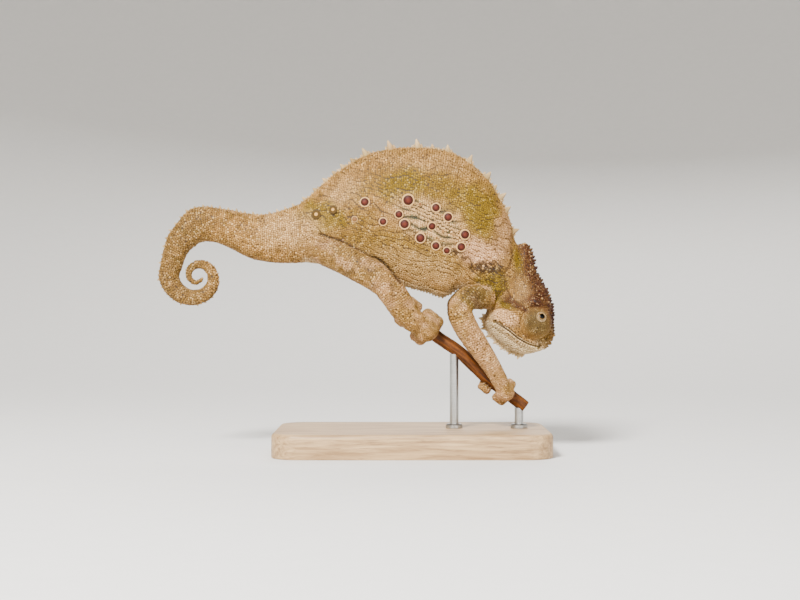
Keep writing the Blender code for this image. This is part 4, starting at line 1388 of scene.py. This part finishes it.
class CHAMELEON_OT_skin(bpy.types.Operator):
    """Fuses every form of flesh into one smooth skin and marks it"""

    bl_idname = "chameleon.skin"
    bl_label = "Skin"

    def execute(self, context):
        sizes = context.scene.chameleon_sizes
        forms = body_forms(sizes)
        form = bmesh.new()
        for part in forms:
            part.into(form)
        bmesh.ops.recalc_face_normals(form, faces=form.faces)
        skin = new_object("skin", mesh_of("skin", form))
        remesh = skin.modifiers.new("fuse", "REMESH")
        remesh.mode = "VOXEL"
        remesh.voxel_size = sizes.voxel * MM
        smooth = skin.modifiers.new("smooth", "SMOOTH")
        smooth.factor = 0.5
        smooth.iterations = sizes.smoothing
        mesh = evaluated(skin)
        places = places_of(mesh)
        places = places + directions_of(mesh) * relief(places)[:, None]
        mesh.vertices.foreach_set("co", (places * MM).ravel())
        mesh.update()
        masks = Markings(places, "skin").masks()
        brown = masks[:, MARKS.index("brown")]
        # The skin along the mouth is darkened as painted shade in its groove.
        brown[:] = np.maximum(brown, 0.9 * side_of_head(places) * beside(places, MOUTH[1:-1], 0.2))
        store_markings(mesh, masks, np.full(len(places), 0.5))
        mesh.shade_smooth()
        made["forms"] = forms
        made["tree"] = BVHTree.FromObject(skin, bpy.context.evaluated_depsgraph_get())
        others = ("stand_", "perch", "eye_right", "eye_left")
        nodes = [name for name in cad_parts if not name.startswith(others)]
        finish_piece(skin, skin_material(), nodes)
        return {"FINISHED"}


def neighbours(places):
    """Finds the six nearest neighbours of each place, the ways from them and the distances."""
    tree = KDTree(len(places))
    for k, place in enumerate(places):
        tree.insert(place, k)
    tree.balance()
    near = np.array([[hit[1] for hit in tree.find_n(place, 7)][1:] for place in places])
    apart = places[:, None] - places[near]
    return near, apart, np.maximum(np.linalg.norm(apart, axis=2), 1e-6)


def relaxed(places, gaps):
    """Pushes crowded places apart over the skin, and gives them, the skin's directions and their spacings."""
    for _ in range(PUSH_PASSES):
        near, apart, distance = neighbours(places)
        want = WANTED * (gaps[:, None] + gaps[near]) / 2
        push = np.clip(want - distance, 0, None) / distance
        places, normals = onto_skin(places + PUSH * (apart * push[:, :, None]).sum(axis=1))
    _, _, distance = neighbours(places)
    return places, normals, np.sort(distance, axis=1)[:, :4].mean(axis=1)


class CHAMELEON_OT_scales(bpy.types.Operator):
    """Covers the skin with small scales that lie close together in rings and wavy rows"""

    bl_idname = "chameleon.scales"
    bl_label = "Scales"

    def execute(self, context):
        taken = Spacing()
        made["scale_material"] = scale_material("chameleon_scales", 0.52, 0.16)
        order = sorted(made["forms"], key=lambda form: not form.name.startswith("turret"))
        rows = []
        for part in dict.fromkeys(form.part for form in order):
            found = [(form, spot) for form in order if form.part == part for spot in form.scale_places()]
            for number, (form, spot) in enumerate(found):
                row = self.landed_row(form, spot, number / len(found), taken)
                if row:
                    rows.append((part, *row))
        parts = np.array([row[0] for row in rows])
        places = np.array([row[1] for row in rows])
        gaps = np.array([row[2] for row in rows])
        places, normals, spacings = relaxed(places, gaps)
        trunk = parts == "trunk"
        places[trunk], normals[trunk] = beside_furrows(places[trunk])
        keep = self.uncovered(places)
        sizes = np.clip(spacings, 0.75 * gaps, 1.3 * gaps) * draw.uniform(0.96, 1.08, len(rows))
        for part in dict.fromkeys(parts):
            mine = np.flatnonzero((parts == part) & keep)
            table = [(places[k], normals[k], rows[k][3], sizes[k] * SCALE_EXTENT * rows[k][4], rows[k][5])
                     for k in mine]
            self.make_pieces(part, table)
        return {"FINISHED"}

    def landed_row(self, form, spot, share, taken):
        """Lands one scale on the skin, or leaves it out where the form is covered or the place is taken."""
        place, ahead, run, turn = spot
        landed, _, distance = nearest_skin(place)
        if distance > FARTHEST_FROM_SKIN:
            return None
        gap = form.spacing
        if form.name == "head" and oval(landed[None], *JAW_BULGE)[0] < 1:
            gap *= JAW_GAP
        if not taken.free(landed, CLOSEST * gap):
            return None
        tubercle = not form.name.startswith("turret") and draw.random() < TUBERCLE_SHARE
        gap *= draw.uniform(*(TUBERCLE_GAPS if tubercle else GRANULE_GAPS))
        stretch = (1.0, 1.0, 1.25) if tubercle else (1.0, 1.0, 1.0)
        if form.name.startswith("forearm") and run > 0.55 and not tubercle:
            stretch = (1.0, 1.25, 1.1)
        return landed, gap, ahead, stretch, (0.01 + 0.98 * share, 0.01 + 0.98 * turn)

    def uncovered(self, places):
        """Tells which scales lie clear of the scutes, eyes, nostrils and lips."""
        keep = np.ones(len(places), dtype=bool)
        for side in (-1, 1):
            for x, z, radius, _ in FLANK_SCUTES:
                scute, _ = surface_at(x, z, side)
                keep &= np.linalg.norm(places - scute, axis=1) > radius + 0.1
            keep &= np.linalg.norm(places - aperture_place(side), axis=1) > 1.05
        head = side_of_head(places) > 0
        keep &= (from_line(places, MOUTH[1:-1]) > LIP_WIDTH + 0.12) | ~head
        keep &= (np.hypot(places[:, 0] - NOSTRIL[0], places[:, 2] - NOSTRIL[1]) > 0.42) | ~head
        return keep

    def make_pieces(self, part, rows):
        """Makes the scales of one part of the body, in up to four pieces."""
        groups = {}
        for row in rows:
            name = part
            if part in ("trunk", "head"):
                name += "_right" if row[0][1] < 0 else "_left"
            if part == "trunk":
                name += "_front" if row[0][0] > TRUNK_HALVES_X else "_rear"
            groups.setdefault(name, []).append(row)
        for name, group in groups.items():
            roots = roots_from(group, part)
            set_small_forms("scales_" + name, "granule", roots, made["scale_material"])


class CHAMELEON_OT_scutes(bpy.types.Operator):
    """Sets the round red and pale scutes on the flanks"""

    bl_idname = "chameleon.scutes"
    bl_label = "Flank scutes"

    def execute(self, context):
        rows = []
        for side in (-1, 1):
            for x, z, radius, _ in FLANK_SCUTES:
                hits = [surface_at(x + radius * i, z + radius * k, side) for i, k in SCUTE_PROBES]
                place = np.mean([hit[0] for hit in hits], axis=0)
                normal = unit(np.mean([hit[1] for hit in hits], axis=0))
                unwrap = (0.25 + 0.2 * side + (x + 12) / 120, (z - 45) / 40)
                place = place + normal * SCUTE_RISE
                rows.append((place, normal, (1, 0, 0), (radius, radius, radius), unwrap))
        roots = roots_from(rows, "trunk")
        profile, sides, _ = TEMPLATES["scute"]
        corners = np.concatenate([[radius] * (sides if radius else 1) for radius, _ in profile])
        redness = np.array([row[3] for row in FLANK_SCUTES] * 2)
        away = corners / np.where(redness > 0.3, 0.8, 0.42)[:, None]
        # middle is 1 at the centre, 0.4 at the edge of the maroon and 0 on the ring; the material paints the
        # rim shade and the top highlight by it.
        middle = np.where(away > 1, 0.0, 1 - 0.6 * away)
        layers = {"middle": middle, "redness": np.repeat(redness, len(corners))}
        set_small_forms("flank_scutes", "scute", roots, scute_material(), layers)
        return {"FINISHED"}


def along_back(line, length):
    """Finds the place, outward way and forward way at a length along a line of backs and bellies."""
    run = lengths_along(line[:, :2])
    low = min(int(np.searchsorted(run, length, side="right")) - 1, len(line) - 2)
    ahead = unit(line[low + 1, :2] - line[low, :2])
    out = np.array((-ahead[1], ahead[0]))
    if out @ (line[low, :2] - line[low, 2:4]) < 0:
        out = -out
    place = line[low, :2] + ahead * (length - run[low])
    return tuple(np.array((v[0], 0.0, v[1])) for v in (place, out, ahead))


def crest_row(line, length, height, width, lean=SPINE_LEAN, side=0.0):
    """Sets one spine at a length along the back."""
    place, out, ahead = along_back(line, length)
    place = place + ACROSS * side
    aim = unit(out - ahead * lean + ACROSS * side * 1.2)
    place, _, _ = nearest_skin(place)
    return place - aim * 0.1, aim, ahead, (width, width * 0.8, height), (0, 0)


def twin_rows(line, lengths, apart, heights, stray, width):
    """Sets two rows of small points, one on each side of a middle line, in uneven sizes and steps."""
    rows = []
    for length in lengths:
        for side in (-apart, apart):
            tall = draw.uniform(*heights)
            rows.append(crest_row(line, length + draw.uniform(-stray, stray), tall, width, SMALL_LEAN, side))
    return rows


class CHAMELEON_OT_crest(bpy.types.Operator):
    """Sets the spines along the back, nape and tail, and the points under the belly and throat"""

    bl_idname = "chameleon.crest"
    bl_label = "Crest and throat lobes"

    def execute(self, context):
        material = scale_material("pale_spines", 0.5, 0.2)
        trunk = smooth_rows([*TORSO_ROWS, *NECK_ROWS], ROW_STEPS)
        rows = []
        for length, height in BACK_CREST:
            rows.append(crest_row(trunk, length, height * 1.1, 0.48 + 0.3 * height))
            for step, small in ((-1.05, 0.5), (1.0, 0.55)):
                rows.append(crest_row(trunk, length + step, height * small, 0.52))
        rows += twin_rows(trunk, np.arange(0.6, 70.0, 1.1), 0.5, (0.5, 0.85), 0.2, 0.44)
        self.set_row("crest_back", "spine", rows, material)
        self.set_row("crest_tail", "spine", self.tail_spines(), material)
        belly = twin_rows(turned_over(TORSO_ROWS), np.arange(8.0, 44.0, 0.8), 0.35, (0.4, 0.75), 0.15, 0.42)
        self.set_row("belly_points", "lobe", belly, material)
        self.set_row("throat_lobes", "lobe", self.throat_rows(), material)
        return {"FINISHED"}

    def tail_spines(self):
        """Sets a row of small spines along the tail that grow towards the trunk."""
        tail = tail_rows()
        rows = []
        for length in np.arange(6.0, lengths_along(tail[:, :2])[-1], TAIL_SPINE_STEP):
            thick = min(0.35 + 0.65 * length / 60.0, 1.0)
            tall = 1.25 if int(length / TAIL_SPINE_STEP) % 2 else 0.8
            rows.append(crest_row(tail, length, thick * draw.uniform(0.55, 0.9) * tall, 0.45 * thick + 0.1))
        return rows

    def throat_rows(self):
        """Sets the pointed lobes that hang under the throat and chin."""
        line = turned_over(HEAD_ROWS)[THROAT_PART]
        rows = []
        for number, length in enumerate(np.arange(0.6, 15.6, 0.72)):
            tall = (1.75 if number % 3 == 1 else 1.15) * draw.uniform(0.85, 1.1)
            place, aim, lie, _, unwrap = crest_row(line, length, tall, 0.5, 0.25)
            rows.append((place, aim, lie, (0.62, 0.34, tall), unwrap))
            for side in (-0.7, 0.7):
                tall = 0.5 * draw.uniform(0.8, 1.2)
                rows.append(crest_row(line, length + 0.3, tall, 0.42, SMALL_LEAN, side))
        return rows

    def set_row(self, name, template, rows, material):
        """Makes one piece of spines, whiter than the skin under them."""
        roots = roots_from(rows, "head" if name.startswith("throat") else "trunk")
        roots["marks"] *= 0.8
        whiter = 0.2 if name == "throat_lobes" else 0.0
        roots["marks"][:, WHITE] = draw.uniform(0.4, 0.8, len(rows)) + whiter
        roots["unwrap"] = in_grid(len(rows), 40, 40, 0.01)
        set_small_forms(name, template, roots, material)


class CHAMELEON_OT_casque(bpy.types.Operator):
    """Sets the rough conical tubercles of the casque, brow and snout"""

    bl_idname = "chameleon.casque"
    bl_label = "Casque tubercles"

    def execute(self, context):
        fine = smooth_rows(HEAD_ROWS, ROW_STEPS)
        rows = []
        taken = Spacing()
        centres = [TURRET_CENTRE * (1, side, 1) for side in (-1, 1)]
        for size, tries, inset in CASQUE_PASSES:
            for number in range(tries):
                if inset == 0.0:
                    spot, down, side = 2 + number * 52 / tries, 0.0, 1
                else:
                    spot = draw.uniform(1, 57)
                    down = draw.uniform(0.0, inset) ** 1.25
                    side = draw.choice((-1, 1))
                row = fine[int(spot)] * (1 - spot % 1) + fine[int(spot) + 1] * (spot % 1)
                blunt = HEAD_EDGES[0] + (HEAD_EDGES[1] - HEAD_EDGES[0]) * down
                swing = math.sqrt(max(1 - (1 - 2 * down) ** 2, 0)) ** blunt
                place = np.array((row[0] + (row[2] - row[0]) * down, side * swing * row[4],
                                  row[1] + (row[3] - row[1]) * down))
                if min(np.linalg.norm(place - centre) for centre in centres) < TURRET_RADIUS + 0.25:
                    continue
                landed, normal, distance = nearest_skin(place)
                if distance > 0.8 or not taken.free(landed, size * 1.3):
                    continue
                aim = unit(normal + (0.25, 0, 0.25))
                tall = size * draw.uniform(0.6, 1.05) * (1.3 if down < 0.02 else 1.0)
                rows.append((landed, aim, (0, 0, -1), (size * 0.62, size * 0.62, tall), (0, 0)))
        roots = roots_from(rows, "head")
        rust = roots["marks"][:, MARKS.index("rust")]
        rust[:] = np.clip(rust + draw.uniform(-0.25, 0.25, len(rows)), 0, 1)
        roots["shade"] = np.where(draw.random(len(rows)) < 0.16, 1.0, 0.5 * roots["shade"])
        roots["unwrap"] = in_grid(len(rows), 60, 60, 0.01)
        set_small_forms("casque_tubercles", "tubercle", roots, made["scale_material"])
        return {"FINISHED"}


class CHAMELEON_OT_lips(bpy.types.Operator):
    """Sets a row of larger scales along each lip"""

    bl_idname = "chameleon.lips"
    bl_label = "Lip scales"

    def execute(self, context):
        fine = smooth_rows(MOUTH[1:-1], 12)
        run = lengths_along(fine)
        ahead = np.gradient(fine, axis=0)
        rows = []
        for side in (-1, 1):
            for lip in (-1, 1):
                for where in np.arange(0.25, run[-1] - 0.1, LIP_STEP):
                    x, z = (np.interp(where, run, fine[:, k]) for k in (0, 1))
                    way = unit([np.interp(where, run, ahead[:, k]) for k in (0, 1)])
                    x, z = x - lip * way[1] * 0.36, z + lip * way[0] * 0.36
                    place, normal = surface_at(x, z, side)
                    turned = unit(normal + np.array((-way[1], 0, way[0])) * lip * -0.2)
                    rows.append((place, turned, (way[0], 0, way[1]), (0.36, 0.25, 0.36), (0, 0)))
        roots = roots_from(rows, "head")
        roots["marks"][:, MARKS.index("brown")] *= 0.2
        roots["marks"][:, WHITE] = np.maximum(roots["marks"][:, WHITE], 0.6)
        roots["unwrap"] = in_grid(len(rows), 12, 12, 0.05)
        set_small_forms("lip_scales", "granule", roots, made["scale_material"])
        return {"FINISHED"}


class CHAMELEON_OT_eyes(bpy.types.Operator):
    """Makes both eyes with the ring of pale scales round each opening"""

    bl_idname = "chameleon.eyes"
    bl_label = "Eyes and lids"

    def execute(self, context):
        material = eye_material()
        lids = []
        for side, name in ((-1, "eye_right"), (1, "eye_left")):
            gaze = unit(GAZE * (1, side, 1))
            centre = aperture_place(side) - gaze * EYE_DEPTH
            turned = Vector(gaze).to_track_quat("Z", "Y").to_matrix().to_4x4()
            form = bmesh.new()
            bmesh.ops.create_uvsphere(form, u_segments=40, v_segments=28, radius=EYE_RADIUS * MM,
                                      matrix=Matrix.Translation(Vector(centre * MM)) @ turned)
            mesh = mesh_of(name + "_ball", form)
            away = unit(places_of(mesh) - centre) @ gaze
            store(mesh, "from_pupil", np.arccos(np.clip(away, -1, 1)) / (math.pi / 2))
            mesh.shade_smooth()
            finish_piece(new_object(name + "_ball", mesh), material, [name])
            lids += self.lid_rows(side, gaze)
        roots = roots_from(lids, "head")
        roots["marks"] *= 0.3
        roots["marks"][:, WHITE] = draw.uniform(0.15, 0.6, len(lids))
        roots["unwrap"] = in_grid(len(lids), 16, 16, 0.05)
        set_small_forms("lid_rings", "granule", roots, made["scale_material"])
        return {"FINISHED"}

    def lid_rows(self, side, gaze):
        """Places two rings of scales round the opening of one eye."""
        right = unit(np.cross(gaze, (0, 0, 1)))
        up = np.cross(right, gaze)
        rows = []
        extent = np.array((1.15, 1.0, 1.2)) * LID_SCALE
        for reach, count, height, shift in LID_RINGS:
            for k in range(count):
                turn = 2 * math.pi * (k + shift) / count
                out = right * math.cos(turn) + up * math.sin(turn)
                place = aperture_place(side) + out * reach + gaze * (height - 0.06)
                rows.append((place, unit(gaze + out * 0.5), out, extent, (0, 0)))
        return rows


class CHAMELEON_OT_claws(bpy.types.Operator):
    """Sets a claw on the end of each toe"""

    bl_idname = "chameleon.claws"
    bl_label = "Claws"

    def execute(self, context):
        rows = []
        for name in GRIPS:
            middle, _, _ = grip_frame(GRIPS[name][0])
            for toe in toe_rows(name):
                last, before = np.array(toe[-1]), np.array(toe[-2])
                ahead = unit(last[:3] - before[:3])
                inward = middle - last[:3]
                inward = unit(inward - ahead * (inward @ ahead))
                place = last[:3] + ahead * last[3] * 0.8
                rows.append((place, ahead, inward, (0.26, 0.2, 1.15), (0, 0)))
        roots = roots_from(rows, "limbs")
        del roots["marks"]
        roots["unwrap"] = in_grid(len(rows), 5, 4, 0.05)
        set_small_forms("claws", "claw", roots, claw_material())
        return {"FINISHED"}


class CHAMELEON_OT_stem(bpy.types.Operator):
    """Makes the cut length of stem that the feet grip"""

    bl_idname = "chameleon.stem"
    bl_label = "Stem"

    def execute(self, context):
        fine = smooth_rows(STEM, 14)
        rows = np.array([(x, 0.0, z, STEM_RADIUS) for x, z in fine])
        rows[0, 3] = rows[-1, 3] = STEM_RADIUS - 0.12
        grid = tube_grid(rows, 36)
        middle = grid.mean(axis=1, keepdims=True)
        flat = grid.reshape(-1, 3)
        lump = 1 + 0.02 * wander(flat, 6.0, 31) + 0.012 * wander(flat, 1.6, 32) - 0.02
        grid = middle + (grid - middle) * lump.reshape(grid.shape[:2])[:, :, None]
        form = bmesh.new()
        Form("stem", "stem", grid, 1.0).into(form)
        bmesh.ops.recalc_face_normals(form, faces=form.faces)
        mesh = mesh_of("stem", form)
        sides = grid.shape[1]
        run = lengths_along(fine)
        turn = 2 * np.pi * np.arange(sides) / sides
        place = np.stack([np.tile(np.cos(turn), len(run)) * 3.2, np.tile(np.sin(turn), len(run)) * 3.2,
                          np.repeat(run, sides) * 0.22], axis=1)
        store(mesh, "stem_place", place, "FLOAT_VECTOR")
        store(mesh, "cut_end", [len(face.vertices) > 4 for face in mesh.polygons], domain="FACE")
        mesh.shade_smooth()
        mesh.set_sharp_from_angle(angle=math.radians(50))
        finish_piece(new_object("stem", mesh), stem_material(), ["perch"])
        return {"FINISHED"}


class CHAMELEON_OT_stand(bpy.types.Operator):
    """Makes the oak base and the two steel rods"""

    bl_idname = "chameleon.stand"
    bl_label = "Stand"

    def execute(self, context):
        low, high = (np.array(corner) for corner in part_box("stand_base"))
        form = bmesh.new()
        turn = Matrix.Translation(Vector((low + high) / 2)) @ Matrix.Diagonal((*(high - low), 1))
        bmesh.ops.create_cube(form, size=1, matrix=turn)
        upright = [e for e in form.edges if abs(e.verts[0].co.z - e.verts[1].co.z) > MM]
        bmesh.ops.bevel(form, geom=upright, offset=BASE_CORNER * MM, segments=14, profile=0.5, affect="EDGES")
        top = [e for e in form.edges if min(v.co.z for v in e.verts) > high[2] - 1e-6]
        bmesh.ops.bevel(form, geom=top, offset=BASE_EDGE * MM, segments=5, profile=0.5, affect="EDGES")
        bottom = [e for e in form.edges if max(v.co.z for v in e.verts) < low[2] + 1e-6]
        bmesh.ops.bevel(form, geom=bottom, offset=0.3 * MM, segments=2, profile=0.5, affect="EDGES")
        mesh = mesh_of("oak_base", form)
        mesh.shade_smooth()
        mesh.set_sharp_from_angle(angle=math.radians(40))
        finish_piece(new_object("oak_base", mesh), base_material(), ["stand_base"])
        material = rod_material()
        for name, x in ROD_X.items():
            low, high = (np.array(corner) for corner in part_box(name))
            foot = low[2] - 0.25 * MM
            shoulder = low[2] + COLLAR_RISE * MM
            profile = [(0.0, foot), (COLLAR_RADIUS * MM, foot), (COLLAR_RADIUS * MM, shoulder - 0.3 * MM),
                       ((COLLAR_RADIUS - 0.3) * MM, shoulder), (ROD_RADIUS * MM, shoulder),
                       (ROD_RADIUS * MM, high[2]), (0.0, high[2])]
            mesh = mesh_of(name + "_steel", spun(profile, x * MM, 48, 1e-6))
            mesh.shade_smooth()
            mesh.set_sharp_from_angle(angle=math.radians(35))
            finish_piece(new_object(name + "_steel", mesh), material, [name])
        return {"FINISHED"}


STEPS = (
    CHAMELEON_OT_stage,
    CHAMELEON_OT_skin,
    CHAMELEON_OT_scales,
    CHAMELEON_OT_scutes,
    CHAMELEON_OT_crest,
    CHAMELEON_OT_casque,
    CHAMELEON_OT_lips,
    CHAMELEON_OT_eyes,
    CHAMELEON_OT_claws,
    CHAMELEON_OT_stem,
    CHAMELEON_OT_stand,
)


class CHAMELEON_PT_panel(bpy.types.Panel):
    """Lists the steps that build the model"""

    bl_label = "Chameleon"
    bl_idname = "CHAMELEON_PT_panel"
    bl_space_type = "VIEW_3D"
    bl_region_type = "UI"
    bl_category = "Chameleon"

    def draw(self, context):
        for group in (context.scene.chameleon_sizes, context.scene.chameleon_colours):
            for name in group.bl_rna.properties.keys():
                if name not in ("rna_type", "name"):
                    self.layout.prop(group, name)
        for step in STEPS:
            self.layout.operator(step.bl_idname)


CLASSES = (ChameleonSizes, ChameleonColours, *STEPS, CHAMELEON_PT_panel)


def register():
    """Adds the settings, steps and panel."""
    for each in CLASSES:
        bpy.utils.register_class(each)
    bpy.types.Scene.chameleon_sizes = PointerProperty(type=ChameleonSizes)
    bpy.types.Scene.chameleon_colours = PointerProperty(type=ChameleonColours)


def unregister():
    """Takes the settings, steps and panel away."""
    del bpy.types.Scene.chameleon_colours
    del bpy.types.Scene.chameleon_sizes
    for each in reversed(CLASSES):
        bpy.utils.unregister_class(each)


def main():
    """Runs every step in order."""
    register()
    for step in STEPS:
        group, name = step.bl_idname.split(".")
        getattr(getattr(bpy.ops, group), name)()


if __name__ == "__main__":
    main()
